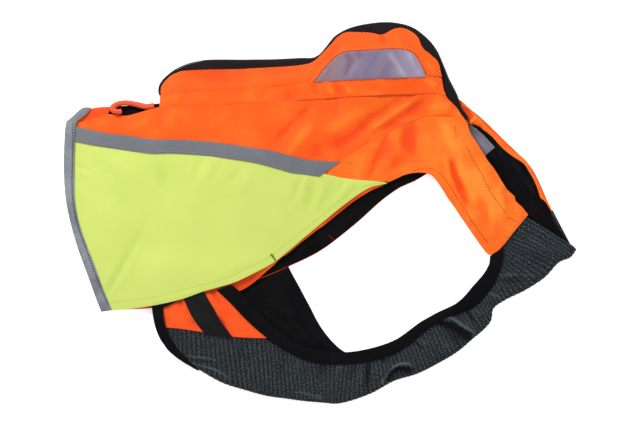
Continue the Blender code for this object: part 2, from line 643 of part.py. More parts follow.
# ------------------------------------------------------------------ the far side
def build_far_panels():
    """Far panels on the surface, and the linings made from their points."""
    on_shell = (SHELL + LINING) / 2 + SEAM
    build_far_yoke()
    side = trimmed(loft(FAR_SIDE_SECTIONS, 3, ROW_STEPS, across=4))
    flat_cloth("far_side_panel", raised(side, far_height), SHELL, ORANGE)
    side_lining = side[(FAR_TAIL_ROWS + 1) * ROW_STEPS:]
    lining = raised(trimmed(side_lining, LINING_EDGE), lambda p: far_height(p) + on_shell)
    flat_cloth("far_side_lining", lining, LINING, DARK_LINING)
    shoulder = loft(FAR_SHOULDER_SECTIONS, 2, ROW_STEPS, across=2)
    flat_cloth("far_shoulder_panel", raised(trimmed(shoulder, FLAP_EDGE), far_height), SHELL, ORANGE)
    lining = raised(trimmed(shoulder[2:-1], LINING_EDGE), lambda p: far_height(p) + on_shell)
    flat_cloth("far_shoulder_lining", lining, LINING, DARK_LINING)
    rim_level = SHELL + LINING + SEAM + LAP + LINING / 2
    rim = loft(NECK_RIM_SECTIONS, 2, ROW_STEPS, across=1)
    flat_cloth("far_neck_rim", raised(rim, lambda p: rim_level), LINING, ORANGE)
    label = loft(LABEL_SECTIONS, 2, ROW_STEPS, across=2)
    label_level = SHELL + LINING + 2 * SEAM + THIN / 2
    flat_cloth("neck_label", raised(label, lambda p: label_level), THIN, LABEL_LILAC)


def build_far_yoke():
    """Far yoke and fin in one, from the far side panel to the far edge of the gusset."""
    low = by_rows([row[0:2] for row in FAR_SIDE_SECTIONS[FAR_YOKE_ROWS]], 2 * ROW_STEPS)
    turns = []
    for near_x, near_y, fold_x, fold_y, stand in GUSSET_SECTIONS[FAR_YOKE_TURNS]:
        fold = Vector((fold_x, fold_y))
        outward = (fold - Vector((near_x, near_y))).normalized()
        turns.append(fold - outward * (GUSSET_FAR + SHELL))
    grid = trimmed(ruled(low, spline(turns, len(low) - 1), across=1))
    on_floor = SHELL / 2
    lifted = [[Vector((*line[0], far_height(line[0]))), Vector((*line[1], on_floor))] for line in grid]
    flat_cloth("far_yoke", lifted, SHELL, ORANGE)


def build_far_layers(near_flap):
    """Far flap and hem binding, a little inside the near ones, then the wing and the bindings."""
    shift = Vector((FAR_SHIFT, 0))
    flap = [[line[column] + shift for column in FAR_FLAP_COLUMNS] for line in near_flap[1:]]
    flat_cloth("far_flap", raised(flap, lambda p: SHELL / 2), SHELL, YELLOW)
    hem = [[point + shift * FAR_HEM_SHARE for point in line]
           for line in loft(HEM_SECTIONS[3:-1], 2, ROW_STEPS, across=1)]
    flat_cloth("far_hem_binding", raised(hem, lambda p: SHELL / 2), SHELL, GREY)
    wing = loft(FAR_WING_SECTIONS, 3, FINE_STEPS, across=4)
    flat_cloth("far_wing", raised(wing, lambda p: SHELL / 2), SHELL, ORANGE)
    wing_lining = trimmed(wing, WING_LINING_EDGE)
    lining_level = SHELL + SEAM + LINING / 2
    flat_cloth("far_wing_lining", raised(wing_lining, lambda p: lining_level), LINING, DARK_LINING)
    binding = loft(FAR_ARMHOLE_SECTIONS, 2, ROW_STEPS, across=1)
    binding_level = KNIT + LAP + FAR_BINDING / 2
    flat_cloth("far_armhole_binding", raised(binding, lambda p: binding_level), FAR_BINDING, BLACK)


def build_cord_loop():
    """Round cord that comes out of the slit at the tail, turns and goes back in."""
    points = spline(CORD_ROUTE, CORD_STEPS)
    curve = bpy.data.curves.new("cord_loop", "CURVE")
    curve.dimensions = "3D"
    route = curve.splines.new("POLY")
    route.points.add(len(points) - 1)
    for target, point in zip(route.points, points):
        target.co = (*(point * MM), 1.0)
    curve.bevel_depth = CORD / 2 * MM
    curve.bevel_resolution = 2
    curve.use_fill_caps = True
    curve.materials.append(material(CORD_ORANGE))
    bpy.context.scene.collection.objects.link(bpy.data.objects.new("cord_loop", curve))


def main():
    for old in list(bpy.data.objects):
        bpy.data.objects.remove(old)
    side = build_near_panels()
    near_flap = build_near_layers()
    build_tail_bridge(side)
    build_gusset()
    build_belly()
    build_far_panels()
    build_far_layers(near_flap)
    build_cord_loop()


main()
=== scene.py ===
# %% [markdown]
# # A dog protective vest, laid flat on its side
# The vest is a hi-vis garment for a working dog. It lies on a white table on its far side, seen from
# straight above. Every panel that was cut and sewn is a piece of its own here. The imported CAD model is
# the frame: it says where each panel lies and how high it stands, and this file gives the cloth its
# creases, seams, weaves and stitches.

# %% Load the frame
import bpy
import math
import random
import numpy as np
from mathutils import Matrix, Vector
from mathutils.bvhtree import BVHTree
from mathutils.geometry import delaunay_2d_cdt
from mathutils.kdtree import KDTree


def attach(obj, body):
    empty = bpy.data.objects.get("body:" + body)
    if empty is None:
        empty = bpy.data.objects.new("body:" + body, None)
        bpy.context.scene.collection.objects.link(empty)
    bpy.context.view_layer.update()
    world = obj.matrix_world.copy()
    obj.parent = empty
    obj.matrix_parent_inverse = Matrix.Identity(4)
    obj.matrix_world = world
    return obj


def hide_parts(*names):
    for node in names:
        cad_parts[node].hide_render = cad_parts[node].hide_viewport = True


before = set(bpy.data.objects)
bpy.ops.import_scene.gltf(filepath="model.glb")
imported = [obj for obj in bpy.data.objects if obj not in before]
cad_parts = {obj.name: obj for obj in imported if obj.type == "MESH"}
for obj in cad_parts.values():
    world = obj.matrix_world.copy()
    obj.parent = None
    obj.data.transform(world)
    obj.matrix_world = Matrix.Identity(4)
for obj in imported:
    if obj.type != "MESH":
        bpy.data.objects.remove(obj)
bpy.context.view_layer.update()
scene = bpy.context.scene
MM = 0.001                      # metres in a millimetre: all tables here are in mm
print("nodes in the frame:", len(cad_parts))

# %% [markdown]
# ## Camera, table and light
# The camera looks straight down from nearly 2 m through an 85 mm lens, which is how flat lays are
# photographed: the perspective is weak, so the panels keep their proportions. The table is a pale
# plane. The light is a bright sky all round with one large soft lamp, so that creases shade gently.

# %% Camera
LENS, SENSOR = 85.0, 36.0
SEEN_WIDTH = 0.800              # metres of table across the picture
CLOTH_LEVEL = 0.009             # the level at which that width holds
PICTURE_MIDDLE = (-0.0006, -0.0012)
camera_data = bpy.data.cameras.new("camera")
camera_data.lens, camera_data.sensor_width = LENS, SENSOR
camera_data.clip_end = 20
camera = bpy.data.objects.new("camera", camera_data)
camera.location = (*PICTURE_MIDDLE, CLOTH_LEVEL + SEEN_WIDTH * LENS / SENSOR)
scene.collection.objects.link(camera)
scene.camera = camera
print("camera height:", round(camera.location.z, 3))

# %% Table
TABLE_HALF = 4
scene.view_settings.view_transform = "Standard"
table_mesh = bpy.data.meshes.new("table_top")
table_mesh.from_pydata([(x * TABLE_HALF, y * TABLE_HALF, 0) for x, y in ((-1, -1), (1, -1), (1, 1), (-1, 1))],
                       [], [(0, 1, 2, 3)])
table_top = bpy.data.objects.new("table_top", table_mesh)
scene.collection.objects.link(table_top)
paper = bpy.data.materials.new("white_table")
paper.use_nodes = True
paper_shader = paper.node_tree.nodes["Principled BSDF"]
paper_shader.inputs["Base Color"].default_value = (0.93, 0.93, 0.93, 1)
paper_shader.inputs["Roughness"].default_value = 0.9
paper_shader.inputs["Emission Color"].default_value = (1, 1, 1, 1)
paper_shader.inputs["Emission Strength"].default_value = 0.5
table_mesh.materials.append(paper)
print("table:", 2 * TABLE_HALF, "m wide")

# %% Sky and lamps
sky = bpy.data.worlds.new("studio")
sky.use_nodes = True
sky.node_tree.nodes["Background"].inputs["Color"].default_value = (1, 1, 1, 1)
sky.node_tree.nodes["Background"].inputs["Strength"].default_value = 0.62
scene.world = sky


def soft_lamp(name, place, size, power):
    lamp_data = bpy.data.lights.new(name, "AREA")
    lamp_data.shape, lamp_data.size, lamp_data.energy = "SQUARE", size, power
    lamp = bpy.data.objects.new(name, lamp_data)
    lamp.location = place
    lamp.rotation_euler = (-Vector(place)).to_track_quat("-Z", "Y").to_euler()
    lamp.visible_camera = False
    scene.collection.objects.link(lamp)
    return lamp


lamps = [soft_lamp("key", (-0.9, 1.1, 1.1), 0.6, 30), soft_lamp("fill", (1.4, -0.6, 1.5), 1.6, 10)]
print("lamps:", [lamp.name for lamp in lamps])

# %% [markdown]
# ## Reading a panel from the frame
# Each flat panel in the frame is a closed wall made of long triangles. Cloth needs an even mesh, so
# that folds bend smoothly. The steps are: take the wall's upper skin, follow its outline, round it off
# between the real corners, fill it with evenly spaced points, join them into triangles, and read the
# height of each point from the skin. A few rounds of averaging then take the facets out.


# %% Upper skin and outline of a node
FACES_UP = 0.3                  # a triangle whose normal rises more than this faces up


def cad_arrays(node):
    """Welded points (mm) and triangles of a CAD wall."""
    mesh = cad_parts[node].data
    mesh.calc_loop_triangles()
    points = np.empty(len(mesh.vertices) * 3)
    mesh.vertices.foreach_get("co", points)
    corners = np.empty(len(mesh.loop_triangles) * 3, dtype=np.int64)
    mesh.loop_triangles.foreach_get("vertices", corners)
    points, index = np.unique(np.round(points.reshape(-1, 3) / MM, 3), axis=0, return_inverse=True)
    corners = index.reshape(-1)[corners].reshape(-1, 3)
    whole = ((corners[:, 0] != corners[:, 1]) & (corners[:, 1] != corners[:, 2])
             & (corners[:, 0] != corners[:, 2]))
    return points, corners[whole]


def upper_skin(node):
    """The triangles of a wall that face up."""
    points, corners = cad_arrays(node)
    a, b, c = (points[corners[:, i]] for i in range(3))
    normal = np.cross(b - a, c - a)
    normal /= np.linalg.norm(normal, axis=1)[:, None] + 1e-12
    return points, corners[normal[:, 2] > FACES_UP]


def outline_of(corners):
    """The longest closed line of edges that only one triangle uses."""
    ends = np.concatenate([corners[:, [0, 1]], corners[:, [1, 2]], corners[:, [2, 0]]])
    _, index, uses = np.unique(np.sort(ends, axis=1), axis=0, return_inverse=True, return_counts=True)
    after = {}
    for a, b in ends[uses[index.reshape(-1)] == 1]:
        after.setdefault(int(a), []).append(int(b))
    loops = []
    while after:
        place = start = next(iter(after))
        loop = []
        while place in after:
            loop.append(place)
            ways = after[place]
            place = ways.pop()
            if not ways:
                del after[loop[-1]]
        loops.append(loop)
    return max(loops, key=len)


# %% Rounding an outline between its corners
SHARP_TURN = math.radians(38)
LEAST_STEP = 1e-6               # keeps doubled points from dividing by zero


def distances_along(points):
    """How far along the line of points each of them lies."""
    knots = [0.0]
    for a, b in zip(points, points[1:]):
        knots.append(knots[-1] + max((b - a).length, LEAST_STEP))
    return knots


def on_curve(points, knots, span, u):
    """The place at share u of one span of a smooth curve through the points: a cubic Hermite curve."""
    def slope(i):
        low, high = max(i - 1, 0), min(i + 1, len(points) - 1)
        return (points[high] - points[low]) / (knots[high] - knots[low])

    size = knots[span + 1] - knots[span]
    return (points[span] * (2 * u**3 - 3 * u**2 + 1)
            + slope(span) * size * (u**3 - 2 * u**2 + u)
            + points[span + 1] * (3 * u**2 - 2 * u**3)
            + slope(span + 1) * size * (u**3 - u**2))


def smooth_run(points, spacing):
    """Points at even steps along a smooth curve through the given ones."""
    points = [Vector(p) for p in points]
    if len(points) == 2:
        count = max(1, round((points[1] - points[0]).length / spacing))
        return [points[0].lerp(points[1], i / count) for i in range(count)]
    knots = distances_along(points)
    count = max(2, round(knots[-1] / spacing))
    curve, span = [], 0
    for i in range(count):
        place = knots[-1] * i / count
        while place > knots[span + 1]:
            span += 1
        curve.append(on_curve(points, knots, span, (place - knots[span]) / (knots[span + 1] - knots[span])))
    return curve


def smooth_loop(loop, spacing, grow=0.0):
    """A closed outline rounded between its corners, as an array, and moved outwards by grow."""
    plan = loop[:, :2]
    before, ahead = plan - np.roll(plan, 1, 0), np.roll(plan, -1, 0) - plan
    turn = np.abs((np.arctan2(ahead[:, 1], ahead[:, 0]) - np.arctan2(before[:, 1], before[:, 0])
                   + math.pi) % (2 * math.pi) - math.pi)
    corner = [i for i in range(len(loop)) if turn[i] > SHARP_TURN] or [0]
    line = []
    for a, b in zip(corner, corner[1:] + [corner[0] + len(loop)]):
        run = [loop[i % len(loop)] for i in range(a, b + 1)]
        line += smooth_run(run, spacing)
    line = np.array(line)
    along = np.roll(line, -1, 0) - np.roll(line, 1, 0)
    out = np.stack([along[:, 1], -along[:, 0]], 1) / np.hypot(along[:, 0], along[:, 1])[:, None]
    x, y = line[:, 0], line[:, 1]
    if np.dot(x, np.roll(y, -1)) < np.dot(y, np.roll(x, -1)):
        out = -out
    line[:, :2] += out * (grow(x, y)[:, None] if callable(grow) else grow)
    return line


# %% Which places lie inside an outline, and how near its rim
def inside(plan, x, y):
    """Which of the places lie inside a closed plan outline."""
    found = np.zeros(len(x), bool)
    for (ax, ay), (bx, by) in zip(plan, np.roll(plan, -1, 0)):
        if ay != by:
            crosses = ((ay > y) != (by > y)) & (x < (bx - ax) * (y - ay) / (by - ay) + ax)
            found ^= crosses
    return found


def rim_reach(outline, places):
    """For each place, the nearest point of the outline and how far it is."""
    rim = KDTree(len(outline))
    for i, point in enumerate(outline):
        rim.insert((point[0], point[1], 0), i)
    rim.balance()
    found = [rim.find((x, y, 0)) for x, y in places]
    return np.array([f[1] for f in found]), np.array([f[2] for f in found])


# %% Filling an outline with even triangles
ROW_STEP = 0.866                # rows of equal triangles stand this much of a spacing apart
RIM_CLEARANCE = 0.55            # how near to the rim a point may come, in spacings


def fill(outline, spacing):
    """Points inside the outline in a triangular pattern, then all triangles with the outline."""
    plan = outline[:, :2]
    low, high = plan.min(0), plan.max(0)
    rows = np.arange(low[1], high[1], spacing * ROW_STEP)
    pattern = np.array([(x + (i % 2) * spacing / 2, y) for i, y in enumerate(rows)
                        for x in np.arange(low[0], high[0], spacing)])
    pattern = pattern[inside(plan, pattern[:, 0], pattern[:, 1])]
    pattern = pattern[rim_reach(plan, pattern)[1] > spacing * RIM_CLEARANCE]
    everything = [Vector(p) for p in np.concatenate([plan, pattern])]
    edges = [(i, (i + 1) % len(plan)) for i in range(len(plan))]
    places, _, faces, *_ = delaunay_2d_cdt(everything, edges, [], 0, 1e-5, False)
    places = np.array([tuple(p) for p in places])
    middles = places[np.array(faces)].mean(1)
    kept = inside(plan, middles[:, 0], middles[:, 1])
    return places, [tuple(f) for f, keep in zip(faces, kept) if keep]


# %% Heights of the points
ABOVE_ALL = 500                 # mm: rays start from here and look down
CLOTH_MIDDLE = 10               # mm: where the search for the nearest place starts
KEPT, SHARED = 0.4, 0.6         # of its own height and of its neighbours' mean, in one round of averaging


def skin_tree(node):
    points, corners = upper_skin(node)
    return BVHTree.FromPolygons([Vector(p) for p in points], [tuple(map(int, t)) for t in corners])


def height_on(tree, x, y):
    """Top height at a plan place, or at the nearest place that has one."""
    hit = tree.ray_cast(Vector((x, y, ABOVE_ALL)), Vector((0, 0, -1)))[0]
    return (hit or tree.find_nearest(Vector((x, y, CLOTH_MIDDLE)))[0]).z


def averaged(height, faces, rounds):
    """Heights averaged with their neighbours to take out the facets of the node."""
    ends = np.array([(f[i], f[(i + 1) % len(f)]) for f in faces for i in range(len(f))])
    ends = np.unique(np.sort(ends, axis=1), axis=0)
    count = np.bincount(ends.ravel(), minlength=len(height)).astype(float)
    for _ in range(rounds):
        total = np.bincount(ends[:, 0], height[ends[:, 1]], len(height))
        total += np.bincount(ends[:, 1], height[ends[:, 0]], len(height))
        height = KEPT * height + SHARED * total / np.maximum(count, 1)
    return height


# %% [markdown]
# ## Creases
# The large waves of the cloth are in the frame. What is added here are its creases: each is a soft
# ridge, or a trough if its height is negative, along a short line. A slow ripple made of a few waves
# in chance directions keeps any two places from looking alike, and the cloth puckers beside its seams.


# %% Creases and ripples
CREASE_ENDS, CREASE_SWELL = 0.55, 0.45      # height at a crease's ends, and what its middle adds
RIPPLE_WAVES, RIPPLE_SUM = 5, 2.2           # chance waves, and about how high they add up


def crease_height(creases, x, y):
    """Sum of the creases: start x, start y, end x, end y, half width, height, all in mm."""
    total = np.zeros(len(x))
    for x0, y0, x1, y1, half, height in creases:
        length = math.hypot(x1 - x0, y1 - y0)
        ux, uy = (x1 - x0) / length, (y1 - y0) / length
        along = np.clip((x - x0) * ux + (y - y0) * uy, 0, length)
        off = np.hypot(x - x0 - along * ux, y - y0 - along * uy)
        fade = CREASE_ENDS + CREASE_SWELL * np.sin(math.pi * along / length)
        total += height * fade * np.exp(-(off / half) ** 2)
    return total


def ripple(x, y, wavelength, height, seed):
    """A slow uneven wave: the sum of a few waves in chance directions."""
    chance = random.Random(seed)
    total = np.zeros(len(x))
    for _ in range(RIPPLE_WAVES):
        turn, phase = chance.uniform(0, math.pi), chance.uniform(0, 2 * math.pi)
        k = 2 * math.pi / (wavelength * chance.uniform(0.75, 1.5))
        total += np.sin(k * (x * math.cos(turn) + y * math.sin(turn)) + phase)
    return total * height / RIPPLE_SUM


def part_way(value, start, full):
    """0 before start, 1 past full, and even in between. It runs either way."""
    return np.clip((value - start) / (full - start), 0, 1)


# %% [markdown]
# ## Building one piece of cloth
# `cloth` makes a panel from its CAD node: the even mesh, its creases, a drawn-down edge where it is
# sewn, and the wall as a Solidify modifier that grows downwards, so the shell stays on the solid's
# form. It stores the plan direction of the weave as a UV map in millimetres, and the height of the
# creases as an attribute, which the materials use to paint shade in the troughs and a highlight on the
# ridges. A real cloth simulation could make such folds too, but not these folds: drawing them keeps
# the photographed lay.

# %% Mesh object with weave directions
def mesh_piece(name, points, faces, uvs=None, values=None):
    """A mesh object from points in mm, with a weave map and a crease value for each point."""
    mesh = bpy.data.meshes.new(name)
    mesh.from_pydata([tuple(p) for p in np.asarray(points) * MM], [], faces)
    if uvs is not None:
        layer = mesh.uv_layers.new(name="weave")
        corner = np.empty(len(mesh.loops), dtype=np.int64)
        mesh.loops.foreach_get("vertex_index", corner)
        layer.data.foreach_set("uv", np.asarray(uvs)[corner].astype(np.float32).ravel())
    if values is not None:
        mesh.attributes.new("crease", "FLOAT", "POINT").data.foreach_set(
            "value", np.asarray(values, np.float32))
    mesh.shade_smooth()
    piece = bpy.data.objects.new(name, mesh)
    scene.collection.objects.link(piece)
    return piece


# %% Rims: cut lines, their length and their sharp edge
def rim_with(node, first, last, points):
    """A node's own outline, where the run of points from first to last is replaced by others."""
    skin, corners = upper_skin(node)
    rim = [tuple(p[:2]) for p in skin[outline_of(corners)]]
    start, end = (min(range(len(rim)), key=lambda i: math.dist(rim[i], place)) for place in (first, last))
    rim = rim[start:] + rim[:start]
    return list(points) + rim[(end - start) % len(rim) + 1:]


def rim_edges(mesh):
    """For each edge, whether only one polygon uses it."""
    uses = {}
    for polygon in mesh.polygons:
        for key in polygon.edge_keys:
            uses[key] = uses.get(key, 0) + 1
    return [uses.get(tuple(sorted(e.vertices)), 0) == 1 for e in mesh.edges]


def rim_length(mesh):
    ends = [[mesh.vertices[i].co for i in e.vertices] for e, rim in zip(mesh.edges, rim_edges(mesh)) if rim]
    return sum((b - a).length for a, b in ends)


def sharpen_rim(mesh):
    """Marks the open edges as sharp, so that the wall's rim doesn't shade into its face."""
    mesh.attributes.new("sharp_edge", "BOOLEAN", "EDGE").data.foreach_set("value", rim_edges(mesh))


# %% Wall, ownership and flat cut
ROUND_CUT = 0.35                # a piece that fills less of its box than this is a bent band
LEAST_WIDTH = 0.0101
WIDER, LESS = 1.002, 0.999      # margins that keep the area below width times length once rounded


def thicken(piece, wall, offset=-1.0):
    """A wall of so many mm: it grows down from the face, or to both sides with offset 0."""
    sharpen_rim(piece.data)
    shell = piece.modifiers.new("wall", "SOLIDIFY")
    shell.thickness, shell.offset, shell.use_even_offset = wall * MM, offset, False


def declare(piece, nodes, material):
    """Gives the piece its body and material, hides the nodes it stands in for, and measures its two spans and
    its area.
    """
    piece.data.materials.append(material)
    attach(piece, "root")
    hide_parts(*nodes)
    points = np.empty(len(piece.data.vertices) * 3)
    piece.data.vertices.foreach_get("co", points)
    points = points.reshape(-1, 3)
    centred = points[:, :2] - points[:, :2].mean(0)
    turn = np.linalg.eigh(centred.T @ centred)[1]
    return np.ptp(centred @ turn, axis=0), sum(p.area for p in piece.data.polygons)


def sheet(piece, nodes, material):
    spans, area = declare(piece, nodes, material)
    width, length = sorted(float(s) for s in spans)
    if area < ROUND_CUT * width * length:
        length = 0.5 * rim_length(piece.data)
        width = area / length
    width = max(width, LEAST_WIDTH, WIDER * area / length)
    print(f"{piece.name}: flat {width * 1000:.0f} x {length * 1000:.0f} mm, {area * 1e4:.0f} cm2")


# %% Cloth from a node
RIM_STEP = 0.8                  # step between rim points, in spacings
PUCKER, PUCKER_DRIFT, PUCKER_REACH = 1.7, 9, 7      # mm: wave, its uneven drift, and how far in it reaches
LIFT_SHADING_SHARE = 0.6               # share of the rest of the lift (ripples, puckers, extra, the drawn-down edge) in the painted shade and highlight: creases count in full
made = {}


def cloth(node, material, wall, spacing=3.0, creases=(), edge=(0.0, 3.0), waves=(), puckers=0.0,
          weave=0.0, rounds=25, extra=None, rim=None, grow=0.2, level=None,
          folds_of=None):
    """One flat-laid panel in the place of its CAD node, in mm.

    edge is how far the rim is drawn down and over what width, waves are ripples (length, height, seed),
    weave is the turn of the threads in degrees, and rounds is how often the heights are averaged. rim
    is the cut line where the node's is coarser, and grow moves it outwards. level changes the heights
    before any fold is laid on them. folds_of works out the creases, and extra adds lift that counts
    only in part in the painted shade and highlight."""
    tree = skin_tree(node)
    if rim is None:
        points, corners = upper_skin(node)
        loop = points[outline_of(corners)]
    else:
        loop = np.array([(x, y, 0.0) for x, y in rim])
    outline = smooth_loop(loop, spacing * RIM_STEP, grow)
    places, faces = fill(outline, spacing)
    nearest, reach = rim_reach(outline, places)
    height = averaged(np.array([height_on(tree, x, y) for x, y in places]), faces, rounds)
    x, y = places[:, 0], places[:, 1]
    if level is not None:
        height = level(x, y, height)
    folds = crease_height(creases, x, y) if folds_of is None else folds_of(x, y)
    lift = folds.copy()
    for wavelength, size, seed in waves:
        lift += ripple(x, y, wavelength, size, seed)
    if puckers:
        along = nearest * spacing * RIM_STEP
        lift += (puckers * np.sin(along / PUCKER + 2 * np.sin(along / PUCKER_DRIFT))
                 * np.exp(-(reach / PUCKER_REACH) ** 2))
    if extra is not None:
        lift += extra(x, y)
    drop, width = edge
    lift -= drop * np.exp(-(reach / width) ** 2)
    turn = math.radians(weave)
    uvs = np.stack([x * math.cos(turn) + y * math.sin(turn), y * math.cos(turn) - x * math.sin(turn)], 1)
    # The crease values paint shade in the troughs and a highlight on the ridges, also along the drawn-down
    # rim.
    piece = mesh_piece(node + "_cloth", np.stack([x, y, height + lift], 1), faces, uvs,
                       folds + LIFT_SHADING_SHARE * (lift - folds))
    thicken(piece, wall)
    sheet(piece, [node], material)
    made[node] = piece


# %% [markdown]
# ## Weaves as node groups
# Woven, knitted and braided cloth repeats a small figure. Each figure is a node group that turns the
# weave map, in millimetres, into masks and heights. A material sets the pitch, and feeds the results
# to its own Principled shader as colour and bump.


# %% Small helpers for node trees
def join(tree, source, target):
    tree.links.new(source, target)


def feed(tree, value, socket):
    """Numbers and colours are set on the socket, and other sockets are linked to it."""
    if isinstance(value, (int, float, tuple)):
        socket.default_value = value
    else:
        join(tree, value, socket)


def figure(tree, operation, *values):
    """A Math node."""
    node = tree.nodes.new("ShaderNodeMath")
    node.operation = operation
    for socket, value in zip(node.inputs, values):
        feed(tree, value, socket)
    return node.outputs[0]


def soft_step(tree, value, start, end, low=0.0, high=1.0):
    """A smooth change from low to high as value goes from start to end."""
    node = tree.nodes.new("ShaderNodeMapRange")
    node.interpolation_type = "SMOOTHSTEP"
    for label, number in (("From Min", start), ("From Max", end), ("To Min", low), ("To Max", high),
                          ("Value", value)):
        feed(tree, number, node.inputs[label])
    return node.outputs["Result"]


# %% Starting a group and reading coordinates
def new_group(name, inputs, outputs):
    """An empty group with named inputs (kind, name, default) and outputs (kind, name)."""
    group = bpy.data.node_groups.new(name, "ShaderNodeTree")
    for kind, label, default in inputs:
        socket = group.interface.new_socket(label, in_out="INPUT", socket_type="NodeSocket" + kind)
        if default is not None:
            socket.default_value = default
    for kind, label in outputs:
        group.interface.new_socket(label, in_out="OUTPUT", socket_type="NodeSocket" + kind)
    return group, group.nodes.new("NodeGroupInput"), group.nodes.new("NodeGroupOutput")


def split(tree, vector):
    """The first two coordinates of a vector."""
    node = tree.nodes.new("ShaderNodeSeparateXYZ")
    join(tree, vector, node.inputs[0])
    return node.outputs[0], node.outputs[1]


def noise(tree, vector, scale, detail=2.0, roughness=0.5):
    node = tree.nodes.new("ShaderNodeTexNoise")
    node.inputs["Scale"].default_value = scale
    node.inputs["Detail"].default_value = detail
    node.inputs["Roughness"].default_value = roughness
    join(tree, vector, node.inputs["Vector"])
    return node.outputs["Fac"]


# %% Diamond ripstop: thick threads in two slanting directions
ripstop, enter, leave = new_group(
    "Diamond ripstop",
    (("Vector", "Vector", None), ("Float", "Along pitch", 5.4), ("Float", "Across pitch", 4.4),
     ("Float", "Line width", 0.16)),
    (("Float", "Line"), ("Float", "Cell"), ("Float", "Thread")))
u, v = split(ripstop, enter.outputs["Vector"])
across = figure(ripstop, "DIVIDE", v, enter.outputs["Across pitch"])
lines, slants = [], []
for sign in (1, -1):
    along = figure(ripstop, "DIVIDE", u, enter.outputs["Along pitch"])
    slanting = figure(ripstop, "MULTIPLY_ADD", across, sign, along)
    off_line = figure(ripstop, "PINGPONG", slanting, 0.5)
    slants.append(off_line)
    lines.append(soft_step(ripstop, off_line, 0.0, enter.outputs["Line width"], 1.0, 0.0))
join(ripstop, figure(ripstop, "MAXIMUM", *lines), leave.inputs["Line"])
centres = [soft_step(ripstop, side, 0.28, 0.5) for side in slants]
join(ripstop, figure(ripstop, "MULTIPLY", *centres), leave.inputs["Cell"])
waves = [figure(ripstop, "SINE", figure(ripstop, "MULTIPLY", side, 9.0)) for side in (u, v)]
join(ripstop, figure(ripstop, "MULTIPLY", *waves), leave.inputs["Thread"])
print("ripstop:", len(ripstop.nodes), "nodes")

# %% Plain weave: fine threads over and under
plain_weave, enter, leave = new_group(
    "Plain weave", (("Vector", "Vector", None), ("Float", "Pitch", 0.7), ("Float", "Rib pitch", 0.7)),
    (("Float", "Thread"),))
u, v = split(plain_weave, enter.outputs["Vector"])
turns = []
for side, pitch in ((u, "Pitch"), (v, "Rib pitch")):
    angle = figure(plain_weave, "DIVIDE", side, enter.outputs[pitch])
    turns.append(figure(plain_weave, "SINE", figure(plain_weave, "MULTIPLY", angle, 2 * math.pi)))
join(plain_weave, figure(plain_weave, "MULTIPLY", *turns), leave.inputs["Thread"])
print("plain weave:", len(plain_weave.nodes), "nodes")

# %% Cloth variation: slow mottling of the dye and fine fuzz
variation, enter, leave = new_group(
    "Cloth variation", (("Vector", "Vector", None), ("Float", "Contrast", 1.0)),
    (("Float", "Mottle"), ("Float", "Fuzz")))
slow = noise(variation, enter.outputs["Vector"], 0.022, 3.0, 0.6)
spread = figure(variation, "SUBTRACT", slow, 0.5)
join(variation, figure(variation, "MULTIPLY_ADD", spread, enter.outputs["Contrast"], 0.5),
     leave.inputs["Mottle"])
join(variation, noise(variation, enter.outputs["Vector"], 2.2, 2.0, 0.7), leave.inputs["Fuzz"])
print("variation:", len(variation.nodes), "nodes")

# %% Knit: ribs of small loops that point along the rib, with light flecks in the dark yarn
loops, enter, leave = new_group(
    "Knitted loops",
    (("Vector", "Vector", None), ("Float", "Rib pitch", 5.3), ("Float", "Stitch", 2.1)),
    (("Float", "Loop"), ("Float", "Fleck"), ("Float", "Crest")))
u, v = split(loops, enter.outputs["Vector"])
rib = figure(loops, "DIVIDE", u, enter.outputs["Rib pitch"])
off_crest = figure(loops, "PINGPONG", rib, 0.5)
row = figure(loops, "MULTIPLY_ADD", off_crest, 1.6, figure(loops, "DIVIDE", v, enter.outputs["Stitch"]))
loop_wave = soft_step(loops, figure(loops, "PINGPONG", row, 0.5), 0.08, 0.4)
crest = soft_step(loops, off_crest, 0.08, 0.42, 1.0, 0.0)
loop_height = figure(loops, "MULTIPLY", figure(loops, "MULTIPLY_ADD", crest, 0.8, 0.2), loop_wave)
join(loops, loop_height, leave.inputs["Loop"])
join(loops, crest, leave.inputs["Crest"])
grain = soft_step(loops, noise(loops, enter.outputs["Vector"], 0.85, 1.0, 0.6), 0.46, 0.66)
join(loops, figure(loops, "MULTIPLY", grain, figure(loops, "MULTIPLY_ADD", crest, 0.6, 0.4)),
     leave.inputs["Fleck"])
print("weave groups:", [g.name for g in bpy.data.node_groups if g.type == "SHADER"])

# %% [markdown]
# ## Colours, painted shading and finishes
# `orange_cloth` and `plain_cloth` make a cloth material: a ground colour, a deep colour painted in the
# troughs as shade and a light one painted on the ridges as a highlight, slow mottling, and one of the
# weaves as a fine relief. On the orange, the painted shade turns the troughs to red and the painted
# highlight turns the ridges to yellow.


# %% Colours and how they are laid over each other
def colour(red, green, blue):
    """Linear colour from the usual 0 to 255 values."""
    return tuple(c / 12.92 if c <= 0.04045 else ((c + 0.055) / 1.055) ** 2.4
                 for c in (red / 255, green / 255, blue / 255)) + (1.0,)


def mixed(tree, share, first, second):
    node = tree.nodes.new("ShaderNodeMix")
    node.data_type = "RGBA"
    join(tree, share, node.inputs[0])
    feed(tree, first, node.inputs[6])
    feed(tree, second, node.inputs[7])
    return node.outputs[2]


def layered(tree, tone, *layers):
    """Lays tints over a ground colour in turn: each is a share and a red, green and blue."""
    for share, tint in layers:
        tone = mixed(tree, share, tone, colour(*tint))
    return tone


# %% Groups, bumps and the start of a material
def placed(tree, group, vector, **values):
    """A weave group in a material, with its own values."""
    node = tree.nodes.new("ShaderNodeGroup")
    node.node_tree = group
    join(tree, vector, node.inputs["Vector"])
    for label, value in values.items():
        node.inputs[label.replace("_", " ")].default_value = value
    return node.outputs


def bumped(tree, shader, height, depth):
    """Fine relief of a height, depth metres deep."""
    bump = tree.nodes.new("ShaderNodeBump")
    bump.inputs["Distance"].default_value = depth
    bump.inputs["Strength"].default_value = 1.0
    join(tree, height, bump.inputs["Height"])
    join(tree, bump.outputs[0], shader.inputs["Normal"])


